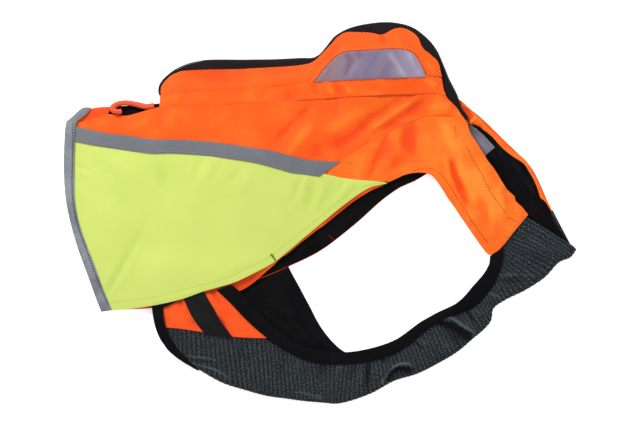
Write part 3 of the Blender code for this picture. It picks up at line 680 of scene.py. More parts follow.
def start_material(name, roughness, sheen=0.0, gloss=0.15):
    """A material, its tree, its shader and the weave map that its figures are drawn on."""
    material = bpy.data.materials.new(name)
    material.use_nodes = True
    tree = material.node_tree
    shader = tree.nodes["Principled BSDF"]
    shader.inputs["Roughness"].default_value = roughness
    shader.inputs["Specular IOR Level"].default_value = gloss
    shader.inputs["Sheen Weight"].default_value = sheen
    shader.inputs["Sheen Roughness"].default_value = 0.4
    weave = tree.nodes.new("ShaderNodeUVMap")
    weave.uv_map = "weave"
    return material, tree, shader, weave.outputs[0]


def crease_of(tree):
    """The height of the creases in mm, as the mesh keeps it."""
    node = tree.nodes.new("ShaderNodeAttribute")
    node.attribute_name = "crease"
    return node.outputs["Fac"]


# %% Orange ripstop
def orange_cloth(name, ground, deep, light, line_share, cell_share, along_pitch=5.4):
    """line_share is how deep the thick threads are dyed, and cell_share how light the cells between."""
    material, tree, shader, weave = start_material(name, 0.6, 0.04)
    figures = placed(tree, ripstop, weave, Along_pitch=along_pitch, Across_pitch=4.4, Line_width=0.2)
    changes = placed(tree, variation, weave, Contrast=1.4)
    crease = crease_of(tree)
    # The crease layers paint shade in the troughs, turning the orange to red, and a highlight on the ridges,
    # turning it to yellow; the mottling, the thick threads and the cells are the cloth's own colour.
    tone = layered(tree, colour(*ground),
                   (soft_step(tree, crease, 0.0, -1.5), deep),
                   (soft_step(tree, crease, 0.1, 1.5), light),
                   (soft_step(tree, changes["Mottle"], 0.4, 0.75, 0.0, 0.3), light),
                   (figure(tree, "MULTIPLY", figures["Line"], line_share), deep),
                   (figure(tree, "MULTIPLY", figures["Cell"], cell_share), light))
    join(tree, tone, shader.inputs["Base Color"])
    relief = figure(tree, "MULTIPLY_ADD", figures["Thread"], 0.12, figures["Line"])
    relief = figure(tree, "MULTIPLY_ADD", changes["Fuzz"], 0.3, relief)
    bumped(tree, shader, relief, 0.00018)
    return material


ORANGE = orange_cloth("orange_ripstop", (236, 86, 14), (224, 60, 8), (246, 120, 32), 0.4, 0.35)
ORANGE_FIN = orange_cloth("orange_ripstop_fin", (236, 92, 22), (204, 54, 8), (246, 120, 36), 0.8, 0.35, 5.6)
# The shoulder's copy is lighter all over: painted light, for the shoulder panel and the neck rim that face
# the lamp.
ORANGE_LIT_COPY = orange_cloth("orange_ripstop_lit_copy", (240, 104, 24), (226, 66, 10), (248, 138, 46),
                               0.3, 0.4)
# The darker copy is painted shade, for panels that lie in shade: the tail over the spine, the near wing under
# the flap, and the far side panel and far wing.
ORANGE_SHADED_COPY = orange_cloth("orange_ripstop_shaded_copy", (232, 76, 22), (190, 46, 16), (240, 98, 30), 0.08, 0.1)
print("orange cloths:", [m.name for m in (ORANGE, ORANGE_FIN, ORANGE_LIT_COPY, ORANGE_SHADED_COPY)])


# %% Plain cloths
def plain_cloth(name, ground, deep, light, roughness, pitch, rib_pitch, depth, sheen=0.0, gloss=0.15,
                mottle=0.35):
    """A close plain weave: pitch and rib_pitch in mm, depth in metres, mottle how much light patches show."""
    material, tree, shader, weave = start_material(name, roughness, sheen, gloss)
    threads = placed(tree, plain_weave, weave, Pitch=pitch, Rib_pitch=rib_pitch)
    changes = placed(tree, variation, weave, Contrast=1.4)
    crease = crease_of(tree)
    # The crease layers paint shade in the troughs and a highlight on the ridges; the mottling and the threads
    # are the cloth's own colour.
    tone = layered(tree, colour(*ground),
                   (soft_step(tree, crease, 0.0, -1.6), deep),
                   (soft_step(tree, crease, 0.1, 1.6), light),
                   (soft_step(tree, changes["Mottle"], 0.3, 0.7, 0.0, mottle), light),
                   (soft_step(tree, threads["Thread"], 0.2, 1.0, 0.0, 0.25), deep))
    join(tree, tone, shader.inputs["Base Color"])
    relief = figure(tree, "MULTIPLY_ADD", changes["Fuzz"], 0.6, threads["Thread"])
    bumped(tree, shader, relief, depth)
    return material


# %% Yellow, greys, blacks and the label
YELLOW = plain_cloth("yellow_cloth", (188, 203, 100), (166, 196, 84), (202, 212, 112), roughness=0.6,
                     pitch=0.6, rib_pitch=0.6, depth=0.00003, sheen=0.04, mottle=0.2)
REFLECTIVE = plain_cloth("reflective_tape", (99, 102, 107), (88, 90, 95), (109, 112, 119), roughness=0.45,
                         pitch=0.5, rib_pitch=0.5, depth=0.00002, gloss=0.2, mottle=0.4)
HEM_GREY = plain_cloth("reflective_binding", (104, 109, 117), (88, 92, 100), (136, 140, 144), roughness=0.45,
                       pitch=0.5, rib_pitch=0.9, depth=0.00003, gloss=0.2, mottle=0.7)
BLACK = plain_cloth("black_binding", (9, 9, 12), (4, 4, 5), (20, 20, 24), roughness=0.75,
                    pitch=0.9, rib_pitch=1.6, depth=0.00008, sheen=0.01, gloss=0.05, mottle=0.4)
WEBBING = plain_cloth("black_webbing", (19, 19, 20), (6, 6, 7), (32, 33, 35), roughness=0.65,
                      pitch=1.2, rib_pitch=2.5, depth=0.0002, sheen=0.01, gloss=0.08, mottle=0.3)
GUSSET_BLACK = plain_cloth("gusset_cloth", (28, 22, 25), (18, 14, 16), (38, 32, 35), roughness=0.7,
                           pitch=0.6, rib_pitch=0.6, depth=0.00004, sheen=0.01, gloss=0.05)
LINING = plain_cloth("black_lining", (6, 5, 6), (2, 2, 2), (20, 19, 23), roughness=0.55,
                     pitch=0.5, rib_pitch=0.5, depth=0.00003, sheen=0.01, gloss=0.05, mottle=0.25)
WING_LINING = plain_cloth("black_wing_lining", (8, 8, 8), (3, 3, 4), (18, 19, 20), roughness=0.6,
                          pitch=0.5, rib_pitch=0.5, depth=0.00003, sheen=0.01, gloss=0.05, mottle=0.3)
LABEL = plain_cloth("label_satin", (108, 106, 118), (74, 70, 74), (126, 124, 138), roughness=0.4,
                    pitch=0.4, rib_pitch=0.9, depth=0.00003, sheen=0.05, gloss=0.2)
print("label:", LABEL.name)


# %% Sewing threads
def thread_of(name, ground, deep, light):
    return plain_cloth(name, ground, deep, light, roughness=0.7, pitch=0.4, rib_pitch=0.4, depth=0.00002)


EDGE_THREAD = thread_of("black_thread", (44, 14, 8), (24, 8, 4), (64, 24, 12))
GREY_THREAD = thread_of("grey_thread", (146, 149, 154), (128, 130, 135), (166, 168, 172))
HEM_THREAD = thread_of("hem_thread", (26, 29, 37), (16, 18, 23), (44, 48, 56))
YELLOW_THREAD = thread_of("yellow_thread", (170, 186, 66), (130, 155, 44), (200, 210, 96))
GREEN_THREAD = thread_of("green_thread", (96, 134, 30), (60, 96, 18), (126, 160, 48))
ORANGE_THREAD = thread_of("orange_thread", (184, 58, 12), (150, 40, 8), (206, 78, 20))
RED_THREAD = thread_of("red_thread", (96, 14, 8), (70, 8, 5), (124, 26, 14))
print("threads:", [m.name for m in bpy.data.materials if m.name.endswith("thread")])


# %% Charcoal knit
def knit_cloth(name):
    material, tree, shader, weave = start_material(name, 0.85, 0.03, 0.06)
    figures = placed(tree, loops, weave, Rib_pitch=5.3, Stitch=1.9)
    changes = placed(tree, variation, weave, Contrast=1.2)
    crease = crease_of(tree)
    # Rib crests and flecks are the yarn's own colour. The creases paint a highlight on the ridges and
    # near-black shade in the troughs.
    tone = layered(tree, colour(11, 12, 14),
                   (soft_step(tree, figures["Crest"], 0.0, 1.0), (21, 24, 27)),
                   (soft_step(tree, crease, 0.3, 1.8, 0.0, 0.65), (80, 89, 95)),
                   (figures["Fleck"], (91, 100, 106)),
                   (soft_step(tree, crease, 0.0, -2.6, 0.0, 0.9), (6, 7, 8)),
                   (soft_step(tree, changes["Mottle"], 0.5, 0.2, 0.0, 0.3), (20, 23, 26)))
    join(tree, tone, shader.inputs["Base Color"])
    relief = figure(tree, "MULTIPLY_ADD", changes["Fuzz"], 0.25, figures["Loop"])
    bumped(tree, shader, relief, 0.0006)
    return material


KNIT = knit_cloth("charcoal_knit")
print("knit:", KNIT.name)


# %% [markdown]
# ## The window's mesh
# The window is a sheer lilac mesh over another layer. Where two meshes lie on each other their threads
# beat, which shows as slow slanting bands. Real layers of thread would need millions of faces, so the
# bands are drawn: a stretched noise for the broad ones, and a wave for the narrow ones at the left.

# %% Window mesh
def window_mesh(name):
    material, tree, shader, weave = start_material(name, 0.4, 0.05, 0.2)
    changes = placed(tree, variation, weave, Contrast=2.0)
    threads = placed(tree, plain_weave, weave, Pitch=1.3, Rib_pitch=1.5)
    crease = crease_of(tree)
    u, v = split(tree, weave)
    slanting = figure(tree, "MULTIPLY_ADD", v, -0.35, u)
    stretch = tree.nodes.new("ShaderNodeCombineXYZ")
    join(tree, figure(tree, "MULTIPLY", slanting, 0.07), stretch.inputs[0])
    join(tree, figure(tree, "MULTIPLY", v, 0.02), stretch.inputs[1])
    bands = noise(tree, stretch.outputs[0], 1.0, 2.0, 0.5)
    wave = figure(tree, "DIVIDE", figure(tree, "MULTIPLY_ADD", v, -1.3, u), 3.4)
    beat = soft_step(tree, figure(tree, "PINGPONG", wave, 0.5), 0.1, 0.4, 0.0, 0.45)
    # The crease layers paint a highlight on the ridges and shade in the troughs.
    tone = layered(tree, colour(119, 109, 128),
                   (soft_step(tree, bands, 0.38, 0.6), (112, 100, 131)),
                   (soft_step(tree, bands, 0.6, 0.72, 0.0, 0.3), (148, 138, 160)),
                   (soft_step(tree, u, 8, 46, 0.85, 0.0), (132, 98, 99)),
                   (soft_step(tree, u, 75, 120, 0.0, 0.45), (176, 162, 188)),
                   (soft_step(tree, changes["Mottle"], 0.55, 0.8, 0.0, 0.35), (134, 92, 104)),
                   (soft_step(tree, crease, 0.1, 1.2, 0.0, 0.65), (174, 168, 184)),
                   (soft_step(tree, crease, -0.1, -1.2, 0.0, 0.7), (104, 76, 94)),
                   (figure(tree, "MULTIPLY", beat, soft_step(tree, u, 26, 58, 1.0, 0.12)), (150, 132, 138)),
                   (soft_step(tree, threads["Thread"], 0.0, 0.9, 0.0, 0.5), (76, 70, 86)))
    join(tree, tone, shader.inputs["Base Color"])
    bumped(tree, shader, threads["Thread"], 0.00006)
    return material


WINDOW = window_mesh("window_mesh")
print("window:", WINDOW.name)


# %% Braided cord
def braid_cloth(name):
    material, tree, shader, weave = start_material(name, 0.75, 0.1)
    changes = placed(tree, variation, weave, Contrast=1.5)
    crease = crease_of(tree)
    # Where a strand dives under, the cord is painted dark red as shade; the fuzz flecks are the yarn's own
    # colour.
    tone = layered(tree, colour(150, 34, 20),
                   (soft_step(tree, crease, -0.35, 0.1), (228, 84, 48)),
                   (soft_step(tree, changes["Fuzz"], 0.45, 0.8, 0.0, 0.5), (240, 128, 92)))
    join(tree, tone, shader.inputs["Base Color"])
    bumped(tree, shader, changes["Fuzz"], 0.00015)
    return material


BRAID = braid_cloth("cord_braid")
print("materials:", len(bpy.data.materials))

# %% [markdown]
# ## The cord loop
# A round braided cord comes out of the slit at the tail, turns and goes back in. It follows the same
# route as its CAD node. A braid is two sets of strands that wind in opposite directions, so the tube's
# radius rises where a strand passes over and falls where it dives under.

# %% Route and braid of the cord
CORD_ROUTE = (
    (-208, 133.8, 8.0), (-213, 133.2, 8.0), (-219, 132.6, 8.2), (-228, 134.6, 8.4), (-238, 136.8, 8.8),
    (-248, 136.8, 9.6), (-255, 134.8, 11.2), (-259.5, 131, 12.8), (-258, 127, 13.2), (-253, 125.6, 12.2),
    (-249, 126.4, 10.6),
)
CORD_RADIUS = 3.4                   # mm, over the strands
CORD_CORE = CORD_RADIUS - 0.12      # where their relief starts
STRANDS, STRAND_TURN = 6, 9.0       # strands in each direction and mm of cord for one turn of a strand
RINGS_APART, AROUND = 0.55, 40      # mm between rings of the tube, and points in a ring


def strand_height(angle, gone):
    """How high the upper strand stands at an angle round the cord, gone mm along it."""
    twist = 2 * math.pi * gone / STRAND_TURN / STRANDS * 2
    strands = [abs(math.sin(STRANDS / 2 * (angle + sign * twist))) for sign in (1, -1)]
    return 0.75 * max(strands) - 0.6


# %% Cord
path = smooth_run(CORD_ROUTE, RINGS_APART) + [Vector(CORD_ROUTE[-1])]
points, values, uvs, faces = [], [], [], []
gone = 0.0
for i, place in enumerate(path):
    ahead = (path[min(i + 1, len(path) - 1)] - path[max(i - 1, 0)]).normalized()
    side = ahead.cross(Vector((0, 0, 1))).normalized()
    over = side.cross(ahead)
    gone += (place - path[i - 1]).length if i else 0.0
    for j in range(AROUND):
        angle = 2 * math.pi * j / AROUND
        height = strand_height(angle, gone)
        radius = CORD_CORE + height * 0.45
        points.append(place + (side * math.cos(angle) + over * math.sin(angle)) * radius)
        values.append(height)
        uvs.append((gone, angle * CORD_RADIUS))
for i in range(len(path) - 1):
    for j in range(AROUND):
        k = (j + 1) % AROUND
        faces.append((i * AROUND + j, i * AROUND + k, (i + 1) * AROUND + k, (i + 1) * AROUND + j))
faces.append(tuple(reversed(range(AROUND))))
faces.append(tuple(range((len(path) - 1) * AROUND, len(path) * AROUND)))
cord = mesh_piece("cord_loop_braid", points, faces, uvs, values)
declare(cord, ["cord_loop"], BRAID)

# %% [markdown]
# ## Cloth that turns over
# The belly knit, the spine gusset and the tail turn from the near side to the far side. Each is a row
# of sections: a leg on the near side, half a circle round the fold, and a leg underneath. The tables
# give plan points in mm at chosen stations, and a smooth curve runs through each of their columns.


# %% Curves through a table
def through_rows(rows, steps):
    """A smooth curve through table rows, with the same number of steps from one row to the next."""
    rows = [Vector(row) for row in rows]
    knots = distances_along(rows)
    return [rows[0]] + [on_curve(rows, knots, span, step / steps)
                        for span in range(len(rows) - 1) for step in range(1, steps + 1)]


def plan_curves(table, steps, starts):
    """For each start, the curve through the plan points in that and the next number of the rows."""
    return [[Vector(p) for p in through_rows([row[i:i + 2] for row in table], steps)] for i in starts]


def column(table, index, steps):
    """One number of a table at every section."""
    return [p.y for p in through_rows([(i, row[index]) for i, row in enumerate(table)], steps)]


def ramp(value, start=0.0, end=1.0):
    """0 before start, 1 past end, and a smooth step in between."""
    u = min(max((value - start) / (end - start), 0.0), 1.0)
    return u * u * (3 - 2 * u)


# %% Sections round a fold
TINT_RISE = 0.8                 # of a tinted crease's height that is also real relief
LIFT_FROM, LIFT_TO = 0.6, 0.85  # where along the leg underneath its far edge lifts off the table


def fold_section(near, fold, far, near_z, top_z, floor, lift, wall, cells, folds=(), tints=()):
    """One section in mm round a fold, and the height of its tinted creases at each point.

    near, fold and far are plan places. near_z and top_z are the heights where the near leg starts and
    where it turns over, floor is where the leg underneath lies, and lift raises its far edge. cells are
    the points of the near leg, the half circle and the leg underneath."""
    leg, arc, under = cells
    radius = (top_z - floor - wall / 2) / 2
    outward = (fold - (near + far) / 2).normalized()
    centre = fold - outward * (radius + wall / 2)
    plan = [near.lerp(centre, i / leg) for i in range(leg)]
    x, y = np.array([p.x for p in plan]), np.array([p.y for p in plan])
    shade = crease_height(tints, x, y)
    relief = crease_height(folds, x, y) + TINT_RISE * shade
    points, values = [], []
    for i, place in enumerate(plan):
        u = i / leg
        rise = float(relief[i]) * math.sin(math.pi * u)
        points.append(Vector((place.x, place.y, near_z + (top_z - near_z) * ramp(u) + rise)))
        values.append(float(shade[i]))
    for i in range(arc + 1):
        values.append(values[leg - 1] * max(0.0, 1 - 3 * i / arc))
        angle = math.pi * (0.5 - i / arc)
        place = centre + outward * radius * math.cos(angle)
        points.append(Vector((place.x, place.y, floor + wall / 2 + radius * (1 + math.sin(angle)))))
    for i in range(1, under):
        u = i / (under - 1)
        place = centre.lerp(far, u)
        points.append(Vector((place.x, place.y, floor + wall / 2 + lift * ramp(u, LIFT_FROM, LIFT_TO))))
    return points, values + [0.0] * (len(points) - len(values))


# %% A mesh from sections, its weave map and its normals
def wrap(name, grid, values, uvs):
    """A mesh from sections with equal numbers of points."""
    rows, columns = len(grid), len(grid[0])
    faces = [(i * columns + j, (i + 1) * columns + j, (i + 1) * columns + j + 1, i * columns + j + 1)
             for i in range(rows - 1) for j in range(columns - 1)]
    points, maps, shades = ([item for line in rows_of for item in line] for rows_of in (grid, uvs, values))
    return mesh_piece(name, points, faces, maps, shades)


def section_maps(grid):
    """Weave coordinates in mm: distance along the sections' middles, and across each section."""
    uvs, gone = [], 0.0
    for i, line in enumerate(grid):
        if i:
            gone += (line[len(line) // 3] - grid[i - 1][len(line) // 3]).length
        across, row = 0.0, []
        for j, p in enumerate(line):
            across += (p - line[j - 1]).length if j else 0.0
            row.append((gone, across))
        uvs.append(row)
    return uvs


def grid_normals(grid):
    """Unit normals of a grid of sections, pointing away from the inside of the fold."""
    normals = []
    for i, line in enumerate(grid):
        before, after = grid[max(i - 1, 0)], grid[min(i + 1, len(grid) - 1)]
        row = []
        for j in range(len(line)):
            along = after[j] - before[j]
            over = line[min(j + 1, len(line) - 1)] - line[max(j - 1, 0)]
            row.append(along.cross(over).normalized())
        normals.append(row)
    if normals[len(grid) // 2][1].z < 0:
        normals = [[-n for n in row] for row in normals]
    return normals


# %% [markdown]
# ## The belly knit
# The knit is a ribbed sweater fabric. Its ribs run across it, from the armhole's binding to the fold,
# and they are real relief here: each section is moved out or in by a wave along the belly. The loops
# of the yarn are too small for that, so they are bump in the material.

# %% Knit sections
# near x, y, fold x, y, far x, y, height at the fold, lift of the far edge
KNIT_SECTIONS = (
    (-203, -137, -176, -183, -198, -146, 6.4, 1.7), (-193, -142, -158, -193, -186, -149, 7.3, 1.7),
    (-148, -148, -123, -213, -147, -161, 9.0, 1.7), (-111, -154, -92, -223, -108, -168, 11.0, 1.7),
    (-73, -157, -66, -230, -73, -172, 12.0, 1.7), (-49, -168, -44, -233, -51, -175, 13.0, 1.7),
    (-29, -176, -22, -236, -28, -177, 13.5, 1.7), (-4, -185, 1, -238, -1, -179, 14.0, 0),
    (31, -186, 24, -239, 32, -181, 14.0, 0), (58, -183, 62, -227, 61, -183, 14.0, 0),
    (83, -176, 92, -211, 88, -177, 14.0, 0), (107, -164, 121, -202, 111, -165, 14.0, 0),
    (131, -144, 149, -188, 136, -146, 14.0, 0), (152, -131, 172, -174, 158, -135, 14.0, 0),
    (172, -124, 191, -158, 179, -125, 13.0, 0), (189, -116, 204, -147, 196, -114, 12.0, 0),
    (199, -108, 213, -136, 203, -108, 12.0, 0), (207, -98, 216, -121, 209, -101, 12.0, 0),
    (218, -80, 231, -110, 219, -86, 12.0, 0), (224, -61, 257, -97, 226, -68, 13.0, 1.7),
    (226, -46, 281, -81, 229, -52, 14.0, 1.7), (233, -33, 299, -62, 249, -32, 15.0, 1.7),
    (246, -17, 313, -56, 269, -14, 15.0, 1.7), (257, -5, 320, -47, 291, 3, 14.0, 1.7),
)
print("knit sections:", len(KNIT_SECTIONS))

# %% Folds of the knit, which stand up, and creases that paint highlights on their ridges and shade in their troughs, and also stand up a little
# start x, start y, end x, end y, half width, height
KNIT_FOLDS = (
    (154, -132, 176, -143, 5, 3.5), (176, -143, 195, -152, 5, 3.0), (160, -146, 186, -158, 5, -3.0),
    (93, -193, 107, -189, 6, 3.0), (107, -189, 119, -202, 6, 3.0), (227, -79, 245, -77, 5, 3.0),
    (245, -77, 271, -79, 5, 2.5), (-152, -190, -112, -211, 6, 2.5), (-38, -219, 20, -233, 7, 2.5),
    (-20, -196, 60, -204, 8, -2.0), (255, -45, 290, -55, 8, 2.5),
)
KNIT_PAINTED_SHADES = (
    (157, -131, 164, -132, 1.3, 2.2), (164, -132, 173, -138, 1.3, 2.6), (173, -138, 182, -144, 1.4, 2.8),
    (182, -144, 191, -149, 1.4, 2.8), (191, -149, 199, -153, 1.4, 2.0), (172, -132, 199, -147, 5, 0.6),
    (148, -138, 166, -141, 3.6, -3.2), (166, -141, 178, -149, 3.8, -3.4), (178, -149, 192, -158, 4.2, -3.4),
    (152, -142, 187, -162, 8, -1.6), (183, -124, 189, -132, 2.2, -2.4), (189, -132, 197, -141, 2.2, -1.8),
    (189, -119, 204, -129, 3, 0.8), (69, -219, 77, -210, 1.3, 1.8), (77, -210, 84, -201, 1.3, 2.2),
    (84, -201, 91, -193, 1.3, 2.6), (91, -193, 98, -189, 1.4, 2.8), (98, -189, 108, -188, 1.4, 2.6),
    (108, -188, 116, -192, 1.3, 1.8), (83, -207, 89, -199, 2.6, -2.4), (89, -199, 98, -194, 3.2, -3.2),
    (98, -194, 112, -195, 3.2, -3.0), (86, -209, 116, -201, 7.5, -1.6), (72, -207, 84, -189, 4, 0.5),
    (117, -161, 129, -171, 1.8, -2.2), (122, -158, 137, -167, 3, 0.8), (79, -181, 78, -189, 2.2, -2.0),
    (-168, -179, -153, -181, 1.3, 1.6), (-153, -181, -138, -183, 1.3, 1.9),
    (-138, -183, -126, -186, 1.3, 1.2), (-163, -186, -153, -191, 1.3, 1.8),
    (-153, -191, -138, -194, 1.3, 2.0), (-138, -194, -126, -199, 1.4, 1.9),
    (-126, -199, -113, -208, 1.6, 1.4), (-163, -184, -136, -189, 2, -1.2), (-33, -223, -2, -229, 2.6, 1.3),
    (-2, -229, 19, -237, 2.6, 1.4), (-26, -229, 2, -234, 2.4, -1.2), (12, -174, -3, -207, 5, -1.2),
    (-43, -172, -51, -207, 6, -0.9), (-26, -174, -31, -204, 5, 0.8), (-98, -166, -106, -199, 6, -0.7),
    (29, -174, 19, -209, 5, 0.9), (47, -172, 39, -207, 5, -0.9), (224, -79, 244, -77, 2.4, 1.1),
    (244, -77, 272, -79, 2.4, 0.9), (227, -86, 254, -86, 3, -1.4), (259, -29, 299, -49, 6, 0.3),
    (244, -42, 284, -64, 6, -0.8), (207, -99, 227, -107, 2.4, 1.2), (164, -156, 177, -172, 4, -0.8),
    (144, -152, 162, -174, 4, 0.7), (60, -186, 58, -219, 4.5, -2.2), (51, -187, 47, -217, 3, 0.8),
    (68, -187, 66, -209, 3.5, 0.7), (37, -199, 24, -224, 6, -0.7), (249, -24, 299, -57, 2.4, 0.6),
    (239, -32, 282, -69, 2.4, 0.6), (266, -17, 307, -44, 2.4, 0.5),
)
print("knit creases:", len(KNIT_FOLDS) + len(KNIT_PAINTED_SHADES))

# %% Knit: sections laid round the fold
KNIT_WALL, KNIT_SOLID_WALL = 2.0, 2.5       # mm: the wall here, and that of the frame's solid
KNIT_STEPS, KNIT_CELLS = 26, (38, 12, 8)
NEAR_PROBE = 0.03                           # how far in from the binding the near height is read
EVENED = 6                                  # sections to each side that a near height is averaged with
tree = skin_tree("belly_knit")
near, fold, far = plan_curves(KNIT_SECTIONS, KNIT_STEPS, (0, 2, 4))
fold_tops, lifts = (column(KNIT_SECTIONS, i, KNIT_STEPS) for i in (6, 7))
grid, values = [], []
for a, b, c, top_z, lift in zip(near, fold, far, fold_tops, lifts):
    inner = a.lerp(b, NEAR_PROBE)
    near_z = height_on(tree, inner.x, inner.y) - KNIT_SOLID_WALL / 2
    line, rises = fold_section(a, b, c, near_z, top_z, 0.0, max(0.0, lift), KNIT_SOLID_WALL, KNIT_CELLS,
                               KNIT_FOLDS, KNIT_PAINTED_SHADES)
    grid.append(line)
    values.append(rises)
heights = np.array([line[0].z for line in grid])
window = 2 * EVENED + 1
changes = np.convolve(np.pad(heights, EVENED, mode="edge"), np.ones(window) / window, "valid") - heights
for line, change in zip(grid, changes):
    for j in range(KNIT_CELLS[0]):
        line[j].z += float(change) * (1 - j / KNIT_CELLS[0])
print("knit grid:", len(grid), "x", len(grid[0]))

# %% Knit: ribs as relief
RIB_PITCH, RIB_HEIGHT = 5.3, 0.22
RESTING = 1.4                               # mm: what lies below this rests on the table and has no ribs
SWAY, SWAY_ACROSS, SWAY_ALONG = 0.5, 17, 61     # mm: the ribs wander a little
LEANING = 6                                 # rows of the table at the left over which the ribs stand upright
maps, normals = section_maps(grid), grid_normals(grid)
for i, line in enumerate(grid):
    lean = (fold[i] - near[i]).normalized().x * ramp(i, LEANING * KNIT_STEPS, 0)
    for j, p in enumerate(line):
        along, across = maps[i][j]
        along += SWAY * math.sin(across / SWAY_ACROSS + along / SWAY_ALONG) + lean * across
        wave = math.cos(2 * math.pi * along / RIB_PITCH)
        line[j] = p + normals[i][j] * RIB_HEIGHT * (wave if p.z > RESTING else -1)
        maps[i][j] = (along, across)
knit = wrap("belly_knit_cloth", grid, values, maps)
thicken(knit, KNIT_WALL, 0.0)
sheet(knit, ["belly_knit"], KNIT)
made["belly_knit"] = knit

# %% [markdown]
# ## The spine gusset and its zip
# A black gusset runs over the spine, tucked under the fin. The zip's coil lies along its fold. Each
# tooth is a small block on a dark cord, and all of them are one joined mesh, because none of them ever
# moves alone. Over a short stretch near the tail the teeth are painted light grey, a painted highlight
# for their glints.

# %% Gusset
# near x, y, fold x, y, how far the far leg stands above the table
GUSSET_SECTIONS = (
    (-198, 145, -201.6, 144.4, 0), (-199, 151, -204, 152, 0), (-197, 158, -202.4, 161, 0),
    (-190, 165, -195.6, 170, 0), (-176, 175, -180, 182, 0), (-157, 177, -163, 189, 0),
    (-132, 178, -141, 192, 0), (-94, 178, -94, 192.5, 0), (-57, 181, -57, 193, 0), (-26, 182, -26, 194.5, 0),
    (-7, 189, -4, 196, 0), (11, 206, 7, 209, 0), (24, 217, 18, 222, 0), (47, 221, 37, 232, 0),
    (69, 220, 64, 238, 0), (93, 226, 89, 239, 0), (108, 223, 113, 234, 0), (122, 211, 131, 222, 0),
    (135, 198, 145, 206, 0), (144, 183, 154, 187, 0), (150, 163, 162, 167, 1), (157, 147, 172, 146, 4.6),
    (171, 131, 177.4, 129.4, 4.8), (179, 119, 185.6, 118.5, 4.8), (182, 111, 186, 111, 4.8),
)
GUSSET_STEPS, GUSSET_CELLS = 8, (5, 8, 4)
TUCKED, ZIP_ROOM, FAR_LEG = 1.5, 2.0, 9.0       # mm: under the fin, short of the fold, and underneath
GUSSET_WALL, TURN_TOP, FAR_LIFT = 1.2, 6.4, 1.7
TURNED_WALL = 1.1               # mm: the wall here, a little less than the solid's
INWARD = 0.8                    # mm: how far in from the edge the near height is read
tree = skin_tree("spine_gusset")
near, fold = plan_curves(GUSSET_SECTIONS, GUSSET_STEPS, (0, 2))
grid, values = [], []
for edge, turn, stand in zip(near, fold, column(GUSSET_SECTIONS, 4, GUSSET_STEPS)):
    outward, stand = (turn - edge).normalized(), max(0.0, stand)
    probe = edge - outward * INWARD
    near_z = height_on(tree, probe.x, probe.y) - GUSSET_WALL / 2
    line, rises = fold_section(edge - outward * TUCKED, turn - outward * ZIP_ROOM, turn - outward * FAR_LEG,
                               near_z, min(near_z, TURN_TOP + stand), stand, max(0.0, FAR_LIFT - stand),
                               GUSSET_WALL, GUSSET_CELLS)
    grid.append(line)
    values.append(rises)
gusset = wrap("spine_gusset_cloth", grid, values, section_maps(grid))
thicken(gusset, TURNED_WALL, 0.0)
sheet(gusset, ["spine_gusset"], GUSSET_BLACK)
made["spine_gusset"] = gusset

# %% Line of the zip
# The zip lies on the fold's crest. Over the stretch with painted glints the cloth has rolled up, so it lies
# higher.
crest = GUSSET_CELLS[0] + GUSSET_CELLS[1] // 2
ROLLED_UP = crest - 2
GLINT_FROM, GLINT_TO = -180, -144
normals = grid_normals(grid)
glinting = [ramp(line[crest].x, GLINT_FROM - 4, GLINT_FROM + 4) * ramp(line[crest].x, GLINT_TO, GLINT_TO - 8)
        for line in grid]
crest_points = [line[crest].lerp(line[ROLLED_UP], w) for line, w in zip(grid, glinting)]
crest_out = [line[crest].lerp(line[ROLLED_UP], w).normalized() for line, w in zip(normals, glinting)]
print("zip line:", round(sum((b - a).length for a, b in zip(crest_points, crest_points[1:]))), "mm")

# %% Zip tape and teeth along that line
TAPE_HALF, TAPE_LOW, TAPE_HIGH = 0.7, 0.5, 1.75
TOOTH_PITCH, TOOTH = 1.9, (1.15, 3.2, 1.3)     # mm: pitch, then length along, width over, thickness
TOOTH_FOOT = 0.9                # mm from the fold to the foot of a tooth
TOOTH_OUTLINE = ((-0.5, -0.5), (0.5, -0.5), (0.32, 0.5), (-0.32, 0.5))     # narrower on top
# Painted highlight on the glinting teeth, and painted shade on the tape.
GLINT_HIGHLIGHT, TAPE_SHADE = 1.3, -1.0
RING_FACES = tuple((k, (k + 1) % 4, 4 + (k + 1) % 4, 4 + k) for k in range(4))
BOX_FACES = ((0, 1, 2, 3), (7, 6, 5, 4), (0, 4, 5, 1), (1, 5, 6, 2), (2, 6, 7, 3), (3, 7, 4, 0))
points, faces, uvs, values = [], [], [], []
for i, (place, out) in enumerate(zip(crest_points, crest_out)):
    ahead = crest_points[min(i + 1, len(crest_points) - 1)] - crest_points[max(i - 1, 0)]
    over = out.cross(ahead).normalized()
    for a, b in ((TAPE_HALF, TAPE_LOW), (TAPE_HALF, TAPE_HIGH), (-TAPE_HALF, TAPE_HIGH),
                 (-TAPE_HALF, TAPE_LOW)):
        points.append(place + over * a + out * b)
        uvs.append((i, a))
        values.append(TAPE_SHADE)
    if i:
        faces += [tuple(4 * i - 4 + k for k in face) for face in RING_FACES]
gone, due = 0.0, 2.0
for i in range(1, len(crest_points)):
    step = crest_points[i] - crest_points[i - 1]
    while gone + step.length > due:
        place = crest_points[i - 1] + step * ((due - gone) / step.length)
        out, ahead = crest_out[i], step.normalized()
        over = out.cross(ahead)
        start = len(points)
        shade = GLINT_HIGHLIGHT if GLINT_FROM < place.x < GLINT_TO else 0.0
        for a in (-0.5, 0.5):
            for b, c in TOOTH_OUTLINE:
                middle = place + out * (TOOTH_FOOT + TOOTH[2] / 2)
                points.append(middle + ahead * TOOTH[0] * a + over * TOOTH[1] * b + out * TOOTH[2] * c)
                uvs.append((due + a, b * 3))
                # Each tooth's top is painted a little lighter and its foot a little darker: painted light and
                # shade.
                values.append(shade + 0.3 * c)
        faces += [tuple(start + k for k in face) for face in BOX_FACES]
        due += TOOTH_PITCH
    gone += step.length

